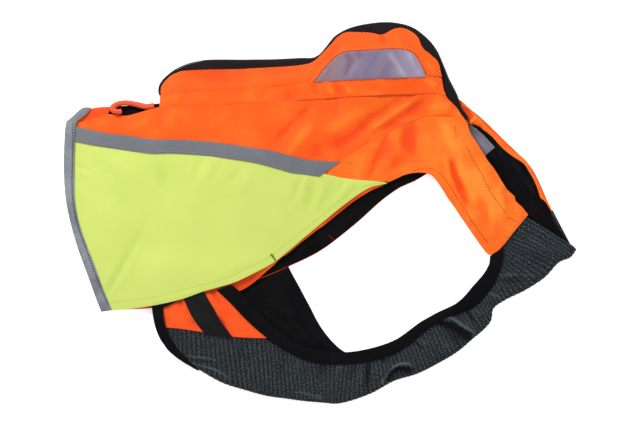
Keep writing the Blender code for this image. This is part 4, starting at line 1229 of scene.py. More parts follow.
# %% Zip as one mesh
# Its light colour is the teeth's painted highlight, and its deep colour the tape's painted shade.
ZIP = plain_cloth("zip_coil", (30, 27, 30), (14, 12, 14), (96, 94, 98), roughness=0.45, pitch=0.8,
                  rib_pitch=0.8, depth=0.00002)
teeth = mesh_piece("spine_zip_teeth", points, faces, uvs, values)
for polygon in teeth.data.polygons:
    polygon.use_smooth = False
declare(teeth, ["spine_zip_chain"], ZIP)
print("zip teeth:", (len(points) - 4 * len(crest_points)) // 8)

# %% Tail: the orange cloth turns over the spine
# edge x, y, fold x, y
TAIL_SECTIONS = (
    (-309, 108, -300, 126), (-303, 112, -293, 129), (-284, 118, -279, 132), (-266, 123, -262, 133),
)
TAIL_STEPS, TAIL_CELLS = 10, (8, 10, 5)
TAIL_WALL, TAIL_SUNK, TAIL_TOP, TUCKED_SHARE = 1.2, 1.8, 6.4, 0.12
SHADE, SHADE_REACH, SHADE_LEVEL = -0.5, 14, 3       # beside the panel's edge, and above this level in mm
tree = skin_tree("tail_bridge")
grid, values = [], []
for a, b in zip(*plan_curves(TAIL_SECTIONS, TAIL_STEPS, (0, 2))):
    probe = a.lerp(b, 0.1)
    line, _ = fold_section(a.lerp(b, -TUCKED_SHARE), b, a.lerp(b, TUCKED_SHARE),
                           height_on(tree, probe.x, probe.y) - TAIL_SUNK, TAIL_TOP, 0.0, 0.0, TAIL_WALL,
                           TAIL_CELLS)
    grid.append(line)
    values.append([SHADE if p.z > SHADE_LEVEL and (p.xy - a).length < SHADE_REACH else 0.0 for p in line])
bridge = wrap("tail_bridge_cloth", grid, values, section_maps(grid))
thicken(bridge, TURNED_WALL, 0.0)
sheet(bridge, ["tail_bridge"], ORANGE_SHADED_COPY)
made["tail_bridge"] = bridge

# %% [markdown]
# ## The near panels
# The orange shell is a light, stiff ripstop that holds wide, soft folds. The side panel's folds run
# down from the spine to the armhole. Where the yellow flap covers it, the side panel has to stay calm,
# or it would come through.

# %% Creases of the side panel
# start x, start y, end x, end y, half width, height
SIDE_CREASES = (
    (-57, 89, -34, 112, 5, -1.3), (-34, 112, -12, 134, 5, -1.4), (-42, 71, -26, 93, 7.8, 0.9),
    (-26, 93, -7, 116, 7.8, 0.9), (-11, 73, 9, 83, 10.1, -1.1), (9, 83, 32, 93, 7.8, -1),
    (22, 82, 43, 98, 5, -1.2), (43, 98, 63, 117, 5, -1.3), (63, 117, 82, 129, 4.5, -1.3),
    (82, 129, 99, 142, 4.5, -1.1), (7, 98, 34, 116, 10.1, 0.9), (34, 116, 64, 134, 10.1, 0.8),
    (63, 104, 93, 124, 3.9, 1.5), (93, 124, 123, 143, 4.5, 1.6), (69, 98, 99, 116, 5.6, -1.5),
    (99, 116, 129, 141, 6.2, -1.6), (27, 64, 69, 91, 2.7, 0.8), (69, 91, 108, 115, 2.9, 1.1),
    (108, 115, 144, 122, 3.4, 0.9), (134, 131, 157, 133, 6.7, 0.8), (-237, 101, -211, 123, 7.8, 0.6),
    (-202, 96, -181, 129, 7.8, 0.7), (-226, 93, -201, 106, 5.6, -0.4), (-173, 126, -178, 96, 6.7, -0.4),
    (-134, 103, -111, 133, 6.7, 0.3), (-106, 133, -98, 93, 9, -0.3), (-73, 131, -68, 83, 9, -0.3),
    # The wide ridge from (144, 129) paints a highlight on the panel's right end, next to the lighter
    # shoulder.
    (-286, 113, -266, 121, 3.4, -0.6), (-293, 106, -251, 114, 4.5, 0.4), (144, 129, 162, 136, 12, 0.9),
    (-144, 96, -101, 89, 6.7, -0.3), (22, 138, 17, 126, 4.5, -0.5), (141, 143, 153, 144, 4.5, 0.6),
)


# %% Where other pieces lie on the side panel
STRIP_LINE = ((-320, -240, -183, -88, -18, 22, 200), (90, 80, 74, 64, 50, 44, 44))
SEAM_LINE = (
    (1.9, 46.9), (21.9, 63.1), (46.9, 78.6), (73.2, 95.0), (94.4, 104.8), (116.9, 115.0), (125.7, 118.6),
    (143.2, 120.1), (156.9, 119.6), (169.4, 119.4),
)


def clear_of_flap(x, y):
    """1 above the reflective strip and 0 under the flap."""
    return part_way(y - np.interp(x, *STRIP_LINE), 0, 14)


def past_seam(x, y):
    """How far a place lies below the shoulder's slanting seam, in mm."""
    return np.interp(x, *zip(*SEAM_LINE)) - y


# %% Side panel
UNDER_FLAP = ((0.2, -18.6), (9.7, -11.4), (24.4, 0.6), (39.4, 12.4), (51.9, 21.1), (65.7, 28.9),
              (78.2, 33.9), (73.2, 39.4), (46.9, 35.6), (26.9, 28.1), (15.7, 24.4))


def side_growth(x, y):
    """The cut runs on under the shoulder panel, and under the hem binding at the tail."""
    under_shoulder = part_way(y, 118, 110) * part_way(x, 2, 10) * part_way(y, 40, 48)
    under_hem = part_way(x, -299, -303) * part_way(y, 92, 98)
    under_yoke = np.clip(1.3 - np.hypot(x - 160, y - 142) / 12, 0, 1) * part_way(y, 146.5, 143.5)
    under_flap = (2.0 * np.exp(-((x + 50) ** 2 + (y + 57) ** 2) / 81)
                  + 0.4 * np.exp(-((x + 22) ** 2 + (y + 36) ** 2) / 400))
    return 0.2 + 4.0 * under_shoulder + 4.0 * under_hem - 1.0 * under_yoke - under_flap


def side_details(x, y):
    """A calm ripple, and a sink past the seam where the shoulder panel lies on top."""
    sunk = part_way(past_seam(x, y), -1.2, 1.2) * part_way(x, 2, 10)
    return ripple(x, y, 34, 0.2, 3) * clear_of_flap(x, y) - 1.3 * sunk


def side_folds(x, y):
    """Its creases end at the flap, and its lower edge is sunk and painted with the flap's shadow."""
    return crease_height(SIDE_CREASES, x, y) * clear_of_flap(x, y) - 0.9 * part_way(y, -72, -80)


cloth("near_side_panel", ORANGE, 1.2, edge=(0.25, 1.6), extra=side_details, weave=-7,
      folds_of=side_folds, spacing=2.6, grow=side_growth,
      rim=rim_with("near_side_panel", (1.9, -16.9), (5.7, 4.5), UNDER_FLAP))

# %% [markdown]
# ## The back: yoke and fin
# The yoke is the narrow strip between the side panel and the fin, and the fin rises to the hump. Their
# seams pucker a little, so short creases stand across the yoke. The window is let into the fin: round
# it the cloth rises, and under it the fin dips, so that the mesh can lie in it.

# %% Yoke
YOKE_CREASES = (
    (-143, 149, -142, 137, 5, 0.35), (-109, 152, -108, 139, 5, 0.35), (-86, 152, -84, 141, 5, 0.4),
    (-62, 153, -61, 142, 5, 0.4), (-97, 152, -97, 139, 4, -0.3), (-73, 153, -73, 141, 4, -0.3),
    (-42, 156, -39, 143, 4, -0.5), (17, 161, 27, 148, 3, -1.2), (8, 161, 17, 147, 3, 0.9),
    (28, 162, 39, 148, 3.5, 1.0), (-9, 159, -6, 146, 3, -0.8), (52, 163, 69, 151, 4, -0.8),
    (72, 166, 94, 153, 5, 0.6), (104, 167, 114, 152, 4, -0.6), (129, 167, 149, 153, 6, 0.9),
    (-184, 147, -181, 136, 5, 0.35), (-163, 148, -161, 137, 5, -0.3),
)


def yoke_growth(x, y):
    """The cut runs on under the fin, and stops short at its right end."""
    return 0.8 - 1.6 * part_way(x, 148, 156) * part_way(y, 148.5, 151.5)


def raised(amount):
    """A level that lies so many mm above the node's."""
    return lambda x, y, height: height + amount


cloth("near_yoke", ORANGE, 1.2, edge=(0.1, 1.2), weave=2, puckers=0.15,
      grow=yoke_growth, level=raised(0.3), waves=((22, 0.35, 5), (11, 0.1, 6)), spacing=2.4,
      creases=YOKE_CREASES)

# %% Cut of the window, and the fin's rise round it
WINDOW_CUT = (
    (-8.1, 162.8), (8.2, 183.1), (19.4, 193.8), (30.7, 199.9), (51.9, 201.4), (74.4, 202.6), (96.9, 203.1),
    (108.2, 201.4), (115.7, 197.5), (124.4, 184.4), (131.9, 168.6), (99.4, 167.4), (61.9, 165.9),
    (24.4, 164.4),
)
WINDOW_RIM = smooth_loop(np.array([(x, y, 0.0) for x, y in WINDOW_CUT]), 2.0)
WINDOW_SEAM = 0.7               # mm: how far the seam stands up round the window and dips under it


def round_window(x, y):
    """The fin rises a little round the window, so the mesh looks let in, and dips under it."""
    _, reach = rim_reach(WINDOW_RIM, np.stack([x, y], 1))
    within = inside(WINDOW_RIM[:, :2], x, y)
    return np.where(within, -WINDOW_SEAM * part_way(reach, 0, 3),
                    WINDOW_SEAM * np.exp(-((reach - 1.2) / 2.4) ** 2))


# %% Fin
FIN_CUT = (
    (-199.3, 146.6), (-199.8, 151.2), (-199.3, 156.4), (-196.8, 161.4), (-192.7, 166.1), (-187.3, 170.9),
    (-181.3, 174.1), (-173.1, 176.9), (-156.8, 178.1), (-131.8, 178.9), (-100.6, 179.4), (-63.1, 181.5),
    (-35.6, 183.1), (-19.3, 185.1), (-9.8, 188.1), (0.7, 197.1), (13.2, 210.1), (21.9, 219.6), (31.9, 225.1),
    (46.9, 225.2), (61.9, 224.4), (70.7, 222.6), (75.7, 221.9), (80.7, 223.4), (86.9, 226.9), (93.2, 229.6),
    (99.4, 230.6), (105.7, 229.6), (111.9, 226.9), (118.2, 222.5), (122.6, 216.9), (125.1, 209.9),
    (129.4, 203.1), (135.2, 198.9), (140.1, 194.4), (145.2, 189.9), (148.2, 183.1), (150.1, 174.4),
    (151.4, 169.6), (132.6, 169.4), (61.9, 166.1), (-6.8, 162.9), (-78.1, 155.4), (-150.6, 151.9),
)
FIN_CREASES = (
    (-163, 176, -106, 176, 7, -1.0), (-103, 176, -26, 178, 6, -0.5), (-151, 166, -103, 166, 6, -0.6),
    (-188, 153, -176, 168, 5, 0.6), (-201, 151, -191, 166, 3, -0.4), (-26, 166, -3, 188, 5, 0.5),
    (7, 188, 27, 211, 4, -0.5), (32, 213, 69, 214, 5, 0.5), (76, 222, 82, 208, 3, -0.8),
    (94, 223, 102, 208, 5, 0.6), (132, 188, 144, 171, 5, 1.0), (114, 208, 129, 193, 4, -0.5),
)
cloth("near_fin", ORANGE_FIN, 1.2, edge=(0.5, 1.8), weave=2, puckers=0.12, spacing=2.4,
      waves=((30, 0.2, 7), (10, 0.07, 8)), extra=round_window, rim=FIN_CUT, creases=FIN_CREASES)

# %% [markdown]
# ## The shoulder panel
# It runs from the neck down to the chest. Its cloth is the lighter copy of the orange, painted light for
# the side that faces the lamp. One deep fold and many small ones fall down along it. Its ripstop is
# turned, since it was cut on the slant.

# %% Creases of the shoulder panel
# start x, start y, end x, end y, half width, height
SHOULDER_CREASES = (
    (102, 108, 87, 58, 24, -0.9), (177, 78, 232, -17, 20, 1.2), (157, 116, 164, 83, 10, 0.6),
    (163, 64, 168, 46, 3.2, -2.7), (168, 46, 176, 28, 4.2, -2.9), (176, 28, 183, 9, 4, -1.8),
    (156, 66, 161, 43, 4.2, 1), (171, 61, 182, 36, 4.8, 0.9), (182, 36, 192, 11, 6, 0.7),
    (113, 114, 111, 92, 10.4, -0.85), (111, 92, 117, 66, 9.6, -0.85), (129, 106, 137, 76, 9.6, 0.5),
    (94, 103, 99, 73, 6, 0.5), (84, 99, 79, 83, 5.4, -0.5), (79, 83, 68, 63, 5.2, -0.7),
    (68, 63, 61, 44, 5.2, -0.75), (59, 72, 46, 47, 6, 0.5), (72, 58, 67, 43, 3.6, 0.4),
    (99, 68, 87, 53, 4.8, -0.6), (149, 113, 159, 98, 6, 0.7), (157, 88, 172, 78, 6, 0.6),
    (231, 23, 236, 4, 3.4, -1.1), (221, 28, 227, 3, 4.8, 0.6), (242, 11, 247, -4, 3.6, 0.5),
    (189, 46, 202, 21, 6, 0.6), (197, 21, 207, -9, 5.4, -0.8), (211, 21, 218, -24, 5.4, 0.7),
    (217, -4, 222, -34, 4.8, -0.6), (184, 6, 197, -17, 4.8, 0.6), (177, 78, 189, 58, 4.8, -0.5),
    (172, 113, 182, 109, 2.9, -0.6), (172, 126, 179, 116, 3.6, 0.4), (168, 131, 169, 107, 1.9, -0.5),
    (182, 82, 199, 51, 2.6, -0.3), (204, 43, 224, 11, 2.6, -0.3), (231, -2, 239, -17, 4.8, -0.4),
    (142, 53, 157, 41, 3.6, 0.4),
)

# %% Shoulder panel
SHOULDER_CUT = (
    (0.1, 45.6), (21.9, 63.1), (34.4, 71.1), (46.9, 78.9), (59.4, 86.6), (73.2, 95.4), (88.2, 102.6),
    (101.9, 109.1), (116.9, 115.6), (125.7, 119.0), (143.2, 120.1), (156.9, 119.5), (165.7, 119.1),
    (166.4, 131.4), (171.4, 127.1), (175.7, 121.9), (179.9, 115.9), (183.4, 109.4), (185.4, 101.9),
    (188.9, 95.1), (194.4, 86.9), (199.4, 78.6), (204.4, 70.6), (208.2, 64.4), (214.4, 56.6), (219.4, 49.4),
    (224.4, 41.1), (228.2, 35.1), (231.9, 29.4), (236.9, 24.6), (241.9, 20.1), (243.2, 14.9), (246.9, 10.9),
    (251.3, 6.9), (255.2, 2.1), (258.9, -2.6), (251.3, -11.9), (240.7, -24.4), (229.4, -38.9), (223.2, -45.6),
    (218.7, -49.9), (213.9, -52.6), (210.2, -52.6), (205.7, -48.4), (200.7, -41.9), (195.7, -34.9),
    (190.7, -28.1), (183.2, -17.1), (175.7, -6.4), (165.7, 8.6), (159.4, 16.9), (154.4, 25.1), (149.4, 33.1),
    (144.4, 40.6), (137.4, 47.4), (130.7, 49.6), (118.2, 49.9), (105.7, 47.4), (94.4, 42.4), (83.2, 37.4),
    (61.9, 31.4), (36.9, 33.1), (5.7, 28.1),
)


def lower_seam(x, y, height):
    """The shoulder's lower end rises over the armhole's binding, and its top edge over the side panel."""
    seam = 0.5 * np.exp(-(past_seam(x, y) / 4) ** 2)
    return height + seam + 1.2 * part_way(x, 205, 225) * part_way(y, -32, -44)


cloth("near_shoulder_panel", ORANGE_LIT_COPY, 1.2, edge=(0.35, 1.8), weave=-38, puckers=0.2,
      waves=((26, 0.2, 9), (9, 0.09, 10)), creases=SHOULDER_CREASES, rim=SHOULDER_CUT, level=lower_seam,
      spacing=2.5)

# %% [markdown]
# ## Window, flap, strip and hem
# The window's mesh is thin and nearly flat. The yellow flap hangs free over the side panel, so it lies
# smooth, with soft folds where the strip and the binding hold it. Strip and binding are narrow pieces
# sewn on top of it.

# %% Window
cloth("near_window", WINDOW, 0.6, edge=(0.5, 1.6), waves=((22, 0.2, 11),), spacing=2.2,
      rim=WINDOW_CUT, grow=0.0,
      creases=((33, 198, 39, 186, 3.6, -1.6), (39, 186, 33, 173, 4.2, -1.8), (8, 181, -1, 166, 4, 0.5),
               (44, 197, 54, 194, 4, -0.8), (84, 201, 94, 186, 5, 0.6), (94, 186, 106, 168, 5, 0.8),
               (97, 198, 113, 171, 3.6, -0.3), (109, 201, 116, 183, 2.8, 0.9), (116, 183, 127, 168, 3, 0.8),
               (69, 201, 74, 198, 4, -0.5), (17, 191, 12, 166, 3, -0.3)))

# %% Flap
# start x, start y, end x, end y, half width, height
FLAP_CREASES = (
    (-266, -99, -257, -84, 3, -0.9), (-257, -84, -241, -54, 4.6, -0.9), (-241, -54, -228, -32, 5.2, -0.6),
    (-228, -32, -214, -9, 5.8, -0.4), (-248, -89, -228, -52, 5.8, 0.4), (-268, -87, -251, -54, 4.6, 0.4),
    (-286, 68, -256, 46, 9.2, -0.6), (-256, 46, -243, 6, 10.3, -0.5), (-213, 68, -193, 28, 11.5, -0.6),
    (-193, 68, -201, 31, 8, -0.4), (-304, 59, -288, 52, 3, -0.7), (-303, 52, -286, 43, 3.4, 0.4),
    (-267, 13, -254, -14, 6.9, 0.5), (-283, 6, -278, -24, 6.9, -0.3), (-147, 66, -159, 43, 4.6, -0.6),
    (-136, 63, -148, 36, 5.8, 0.4), (-123, 61, -136, 38, 4.6, -0.4), (-99, 56, -113, 39, 4, -0.6),
    (-86, 53, -96, 33, 5.8, 0.4), (-25, 42, -34, 18, 4, -0.7), (-18, 43, -25, 13, 3.4, 0.6),
    (-9, 37, -17, 4, 4.6, -0.8), (3, 31, -7, 2, 3.4, 0.7), (17, 38, 4, 12, 4, -0.7),
    (38, 37, 21, 17, 3.4, 0.7), (-34, 2, -18, -14, 4.6, 0.4), (-46, 6, -28, -19, 4.6, -0.4),
    (28, 36, 13, 16, 2.9, -0.4), (49, 36, 37, 26, 2.9, -0.4), (-63, 21, -73, -17, 9.2, -0.2),
    (-93, -62, -126, -79, 4.6, 0.3), (-151, -97, -213, -111, 3.4, 0.4), (-106, -77, -86, -67, 2.9, -0.4),
    (-213, -24, -163, -62, 13.8, 0.2), (-291, -19, -271, -92, 4.6, 0.3), (-156, -47, -131, -72, 9.2, -0.2),
)
cloth("near_flap", YELLOW, 1.2, edge=(0.3, 2.0), waves=((60, 0.2, 12), (18, 0.06, 13)),
      creases=FLAP_CREASES, weave=4, spacing=3.0)

# %% Reflective strip
def strip_level(x, y, height):
    """Past the flap's top edge the strip comes down onto the side panel."""
    return height - 1.9 * part_way(x, -4, 14)


cloth("near_reflective_strip", REFLECTIVE, 0.8, edge=(0.25, 1.2), spacing=2.4, weave=-6,
      waves=((45, 0.3, 14),), creases=((-82, 76, -61, 61, 5, 0.9), (-31, 58, -16, 46, 5, -0.7)),
      level=strip_level, rim=rim_with("near_reflective_strip", (21.9, 63.0), (21.9, 63.0), ((24.7, 63.2),)))

# %% Hem binding
HEM_CUT = (
    (-297.6, 130.9), (-293.1, 131.6), (-286.6, 131.6), (-290.6, 125.1), (-298.1, 118.6), (-304.8, 112.9),
    (-306.3, 108.1), (-306.8, 95.6), (-307.6, 70.6), (-307.6, 45.6), (-307.3, 21.9), (-305.6, 5.6),
    (-301.8, -11.9), (-296.8, -28.1), (-290.6, -44.4), (-281.8, -66.9), (-274.3, -88.1), (-266.8, -106.9),
    (-260.6, -121.9), (-273.8, -124.1), (-280.6, -106.9), (-288.1, -86.1), (-295.6, -65.6), (-303.1, -44.9),
    (-309.3, -24.4), (-314.8, -2.4), (-318.1, 15.6), (-320.1, 36.9), (-320.6, 65.6), (-319.6, 93.1),
    (-318.6, 105.6), (-317.1, 114.6), (-314.3, 115.9), (-306.8, 123.1),
)


def over_the_tail(x, y, height):
    """The binding's top end climbs with the tail where it turns over the spine."""
    return np.maximum(height, 8.4 * part_way(y, 104, 116))


cloth("near_hem_binding", HEM_GREY, 1.2, edge=(0.6, 1.8), spacing=2.2, weave=80,
      waves=((14, 0.16, 15),), puckers=0.12, rim=HEM_CUT, level=over_the_tail, grow=0.0,
      creases=((-314, 115, -306, 112, 1.4, -0.9),))

# %% [markdown]
# ## The belly wing, its strap and the bindings
# The wing joins the flap's underside to the belly. Black webbing is sewn over it, and black tape folds
# over the raw edges of the armhole and the belly. Tape and webbing are stiffer than the shell, so they
# carry no creases of their own, only a slow ripple and the puckers of their seams.

# %% Wing
WING_CUT = (
    (-198.8, -113.9), (-198.8, -121.9), (-198.1, -131.9), (-196.3, -140.1), (-193.6, -143.4),
    (-175.6, -145.1), (-146.8, -149.4), (-128.1, -152.4), (-109.3, -155.1), (-85.6, -156.6), (-63.1, -157.4),
    (-55.6, -160.6), (-73.1, -141.9), (-93.1, -125.6), (-110.6, -109.4), (-123.1, -94.4), (-144.3, -94.4),
    (-170.6, -104.4), (-185.6, -108.1),
)
# The troughs from (-194, -114), (-178, -107), (-144, -99) and (-138, -98) follow the flap's edge: their depth
# is also the flap's painted shadow on the wing.
WING_CREASES = (
    (-127, -132, -118, -143, 2.6, -1.6), (-138, -98, -131, -104, 2.4, -1.3), (-116, -132, -101, -144, 4, 0.7),
    (-133, -107, -123, -117, 3, -0.8), (-178, -107, -174, -117, 3, -1.0), (-194, -114, -172, -106, 3.4, -1.3),
    (-144, -99, -127, -96, 3.4, -1.5), (-186, -122, -173, -132, 4, 0.6), (-163, -134, -153, -144, 3, -0.8),
    (-111, -119, -103, -132, 3, 0.6),
)
cloth("near_wing", ORANGE_SHADED_COPY, 1.2, edge=(0.3, 1.4), spacing=2.2, weave=20, rim=WING_CUT,
      creases=WING_CREASES, waves=((18, 0.2, 16),))

# %% Strap and armhole binding
STRAP_CUT = (
    (-176.8, -96.9), (-170.6, -108.1), (-165.6, -119.4), (-160.6, -129.4), (-153.1, -140.6), (-145.1, -150.6),
    (-136.8, -151.9), (-128.1, -153.1), (-119.3, -154.6), (-110.1, -156.1), (-118.1, -144.4),
    (-125.6, -134.4), (-133.1, -120.6), (-140.6, -108.1), (-146.8, -96.2), (-150.6, -89.4),
)
cloth("near_strap", WEBBING, 1.5, edge=(0.4, 1.2), spacing=2.0, weave=-62, rim=STRAP_CUT,
      waves=((30, 0.2, 17),))
cloth("near_armhole_binding", BLACK, 1.8, edge=(0.9, 2.2), spacing=2.2, puckers=0.12, grow=0.5,
      waves=((16, 0.2, 18),))

# %% Rear binding of the belly
BELLY_EDGE_CUT = (
    (-210.6, -113.1), (-209.8, -123.1), (-208.1, -134.4), (-205.6, -144.4), (-200.6, -156.9),
    (-195.6, -164.4), (-190.3, -171.6), (-181.6, -179.4), (-171.8, -186.4), (-163.1, -191.6),
    (-157.3, -194.9), (-152.6, -197.6), (-152.3, -197.1), (-159.3, -190.4), (-168.1, -181.1),
    (-176.8, -172.4), (-184.3, -161.9), (-190.6, -150.6), (-193.8, -140.6), (-195.7, -130.6),
    (-196.6, -120.0), (-196.1, -118.6), (-188.1, -114.9), (-180.2, -111.1), (-172.4, -108.1),
    (-170.6, -105.6), (-175.6, -96.9), (-195.6, -106.9),
)
cloth("belly_rear_binding", BLACK, 1.8, edge=(0.7, 1.8), spacing=2.0, puckers=0.12,
      waves=((16, 0.15, 19),), rim=BELLY_EDGE_CUT, level=raised(0.8))

# %% [markdown]
# ## The far side
# The far panels lie flat on the table, so they have no folds underneath. What shows of them is their
# lining in the armhole and the neck, the turned rim of the neck, the wing and its binding.

# %% Far panels
FAR_PANELS = (
    # node, finish, slot, spacing
    ("far_shoulder_panel", ORANGE, "orange_ripstop", 5.0),
    ("far_yoke", ORANGE, "orange_ripstop", 5.0),
    ("far_flap", YELLOW, "yellow_cloth", 6.0),
    ("far_hem_binding", HEM_GREY, "reflective_grey", 3.0),
)
SLIT_CORNER = ((-241.3, 139.1), (-241.3, 133.6), (-254.3, 133.1))


def armhole_corner(x, y):
    """1 where the side panel's edge crosses over the wing, fading to 0 round it."""
    return np.clip(1.6 - np.hypot(x + 55, (y + 72) * 1.6) / 22, 0, 1)


def stepped(amount):
    """A level that is raised, or lowered where negative, by so many mm at that corner."""
    return lambda x, y, height: height + amount * armhole_corner(x, y)


cloth("far_side_panel", ORANGE_SHADED_COPY, 1.2, spacing=4.0, rounds=6, weave=5, grow=0.3,
      edge=(0.5, 3.0), level=stepped(0.6),
      rim=rim_with("far_side_panel", (-243.9, 139.9), (-243.9, 139.9), SLIT_CORNER))
for node, material, slot, spacing in FAR_PANELS:
    cloth(node, material, 1.2, spacing=spacing, rounds=6, weave=5)

# %% Far wing and armhole binding
WING_TIP = ((-4.9, -173.8), (3.8, -173.8))
cloth("far_wing", ORANGE_SHADED_COPY, 1.2, spacing=4.0, rounds=6, weave=5,
      grow=-0.6)
cloth("far_armhole_binding", BLACK, 1.2, edge=(0.4, 1.6), spacing=2.2, puckers=0.1,
      rim=rim_with("far_armhole_binding", (-39.1, -71.0), (-52.1, -78.0), ((-40.6, -67.6), (-53.8, -74.6))),
      level=stepped(-1.0))

# %% Linings of the side and the shoulder
cloth("far_side_lining", LINING, 1.0, spacing=3.5, edge=(0.2, 2), waves=((26, 0.35, 21),),
      rim=rim_with("far_side_lining", (-243.1, 139.0), (-243.1, 139.0),
                   SLIT_CORNER + ((-258.1, 128.9), (-263.6, 126.9), (-266.3, 124.1), (-266.6, 119.4),
                                  (-258.1, 110.6), (-248.1, 98.1))), grow=0.35)
NECK_LINING_CUT = (
    (176.9, 118.1), (181.9, 113.6), (194.4, 111.4), (205.7, 105.6), (216.9, 96.9), (225.7, 86.9),
    (233.2, 80.1), (241.9, 73.1), (255.7, 63.6), (262.7, 53.1), (268.7, 42.4), (274.4, 29.9), (279.4, 18.6),
    (284.4, 10.6), (287.7, 1.9), (291.4, -9.4), (296.9, -19.9), (303.2, -27.4), (308.2, -35.6),
    (310.7, -43.1), (299.4, -39.4), (281.9, -29.4), (264.4, -15.6), (244.4, 3.1), (223.2, 31.9),
    (204.4, 61.9), (189.4, 85.6), (179.4, 105.6),
)


def neck_lining_level(x, y, height):
    """It lies over the far side's knit at its lower end."""
    return np.maximum(height, 5.6 * part_way(x, 256, 268))


cloth("far_shoulder_lining", LINING, 1.0, spacing=2.8, edge=(0.3, 2), rim=NECK_LINING_CUT,
      waves=((24, 0.25, 22),), level=neck_lining_level,
      creases=((224, 81, 239, 41, 3, 1.2), (239, 71, 257, 38, 4, 0.9), (229, 66, 244, 16, 4, -1.0),
               (257, 43, 269, 21, 3, 1.0), (207, 81, 224, 63, 5, 0.9), (272, 8, 289, -19, 3, 0.7)))

# %% Lining of the wing
wing_rim = rim_with("far_wing_lining", (-5.2, -164.2), (-5.2, -164.2), WING_TIP)
top = max(range(len(wing_rim)), key=lambda i: wing_rim[i][1])
wing_rim[top:top + 1] = [(-40.1, -67.1), (-47.3, -64.4)]


def wing_lining_growth(x, y):
    """The cut runs on under the flap, and under the near binding at its lower tip."""
    return 1.0 + 6.0 * part_way(y, -106, -100) * part_way(x, -50, -55) + 3.0 * part_way(y, -150, -155)


cloth("far_wing_lining", WING_LINING, 1.0, spacing=2.8, edge=(0.2, 2), rim=wing_rim,
      level=stepped(-0.4), grow=wing_lining_growth, waves=((20, 0.2, 23),),
      creases=((-66, -109, -31, -132, 3, 0.8), (-73, -117, -46, -137, 3, -0.8),
               (-43, -132, -18, -152, 3, 0.7), (-26, -137, -6, -159, 2.6, -0.9),
               (-51, -97, -26, -117, 4, -0.5), (-36, -92, -26, -109, 2, 0.6)))

# %% Turned rim of the neck
RIM_CUT = (
    (174.9, 139.9), (178.2, 137.6), (183.2, 133.9), (188.2, 128.9), (193.2, 123.9), (197.7, 119.9),
    (204.4, 113.1), (211.2, 105.6), (218.2, 99.1), (224.9, 93.1), (234.4, 83.6), (245.2, 75.1), (254.4, 68.1),
    (262.4, 57.6), (268.7, 45.6), (275.9, 30.6), (280.4, 19.6), (284.9, 12.1), (289.4, 3.9), (287.4, 3.6),
    (282.4, 11.9), (278.7, 15.9), (275.4, 18.1), (271.9, 28.6), (266.9, 40.6), (260.7, 51.4), (254.4, 61.1),
    (240.7, 70.6), (231.9, 77.4), (224.4, 84.4), (215.7, 94.4), (204.4, 103.6), (195.7, 109.4),
    (185.7, 110.9), (181.9, 118.1), (177.7, 128.1),
)


def rim_level(x, y, height):
    """It lies on the lining, and climbs onto the knit at its lower end."""
    return height + 0.6 + 3.6 * part_way(x, 246, 260)


# The neck rim uses the lighter copy of the orange, painted light.
cloth("far_neck_rim", ORANGE_LIT_COPY, 1.0, spacing=1.8, edge=(0.5, 1.4), puckers=0.15,
      waves=((14, 0.2, 24),), rim=RIM_CUT, grow=0.0, level=rim_level,
      creases=((179, 132, 185, 126, 1.9, -2.8), (185, 126, 190, 118, 2.1, -3.4),
               (195, 120, 186, 111, 1.8, 2.2), (189, 111, 202, 105, 1.6, -2.4),
               (177, 138, 192, 126, 1.6, 1.2), (197, 119, 207, 107, 1.8, 0.9), (231, 83, 236, 79, 1.5, -1.0),
               (224, 91, 239, 77, 1.6, 0.6), (249, 69, 264, 51, 1.8, 0.7)))

# %% Neck label
LABEL_CUT = (
    (183.2, 112.1), (185.2, 109.4), (189.4, 109.9), (192.7, 106.4), (194.4, 106.1), (198.2, 102.4),
    (203.9, 97.6), (208.7, 92.4), (213.7, 87.1), (218.7, 81.6), (211.9, 76.1), (204.2, 68.9), (194.4, 78.1),
    (184.4, 93.1), (176.9, 106.9),
)
# The first crease paints shade on the label's upper part, and the second a highlight on its lower part.
LABEL_CREASES = (
    (187, 108, 204, 93, 4, -0.7), (199, 88, 209, 78, 4, 1.2),
)
cloth("neck_label", LABEL, 0.7, spacing=1.8, edge=(0.2, 1.0), waves=((22, 0.3, 25),),
      creases=LABEL_CREASES, rim=LABEL_CUT, grow=0.0, level=raised(1.0))

# %% [markdown]
# ## Stitches
# Sewing shows as rows of short thread ends that lie on the cloth. Each row follows a line in plan, and
# a ray from above finds the cloth under each stitch. All stitches of one thread are one joined mesh.

# %% A surface to stand the stitches on
points, faces = [], []
for piece in made.values():
    start = len(points)
    points += [v.co / MM for v in piece.data.vertices]
    faces += [tuple(start + k for k in p.vertices) for p in piece.data.polygons]
ground = BVHTree.FromPolygons(points, faces)


def lie_at(x, y):
    """How high the cloth stands at a plan place."""
    hit = ground.ray_cast(Vector((x, y, ABOVE_ALL)), Vector((0, 0, -1)))[0]
    return hit.z if hit else 0.0


print("cloth under the stitches:", len(faces), "faces")

# %% Rows of stitches
SKEW = 0.12                     # how far a stitch may turn from its row
ROD_WAIST, ROD_DIP = 0.28, 0.3  # where its thick part ends, in lengths, and how its ends dip, in thicknesses


def stitch_row(line, pitch, length, thick, seed=0, sink=0.1):
    """Stitches along a plan line in mm: a list of (middle, direction, length, thickness)."""
    chance = random.Random(seed)
    curve = smooth_run([(x, y, 0) for x, y in line], pitch)
    found = []
    for a, b in zip(curve, curve[1:]):
        ahead = (b - a).normalized()
        half = ahead * length / 2
        ends = [Vector((p.x, p.y, lie_at(p.x, p.y))) for p in (a - half, a + half)]
        middle = (ends[0] + ends[1]) / 2 + Vector((0, 0, thick / 2 - sink))
        turn = ahead.cross(Vector((0, 0, 1))) * chance.uniform(-SKEW, SKEW)
        found.append((middle, ((ends[1] - ends[0]).normalized() + turn).normalized(), length, thick))
    return found


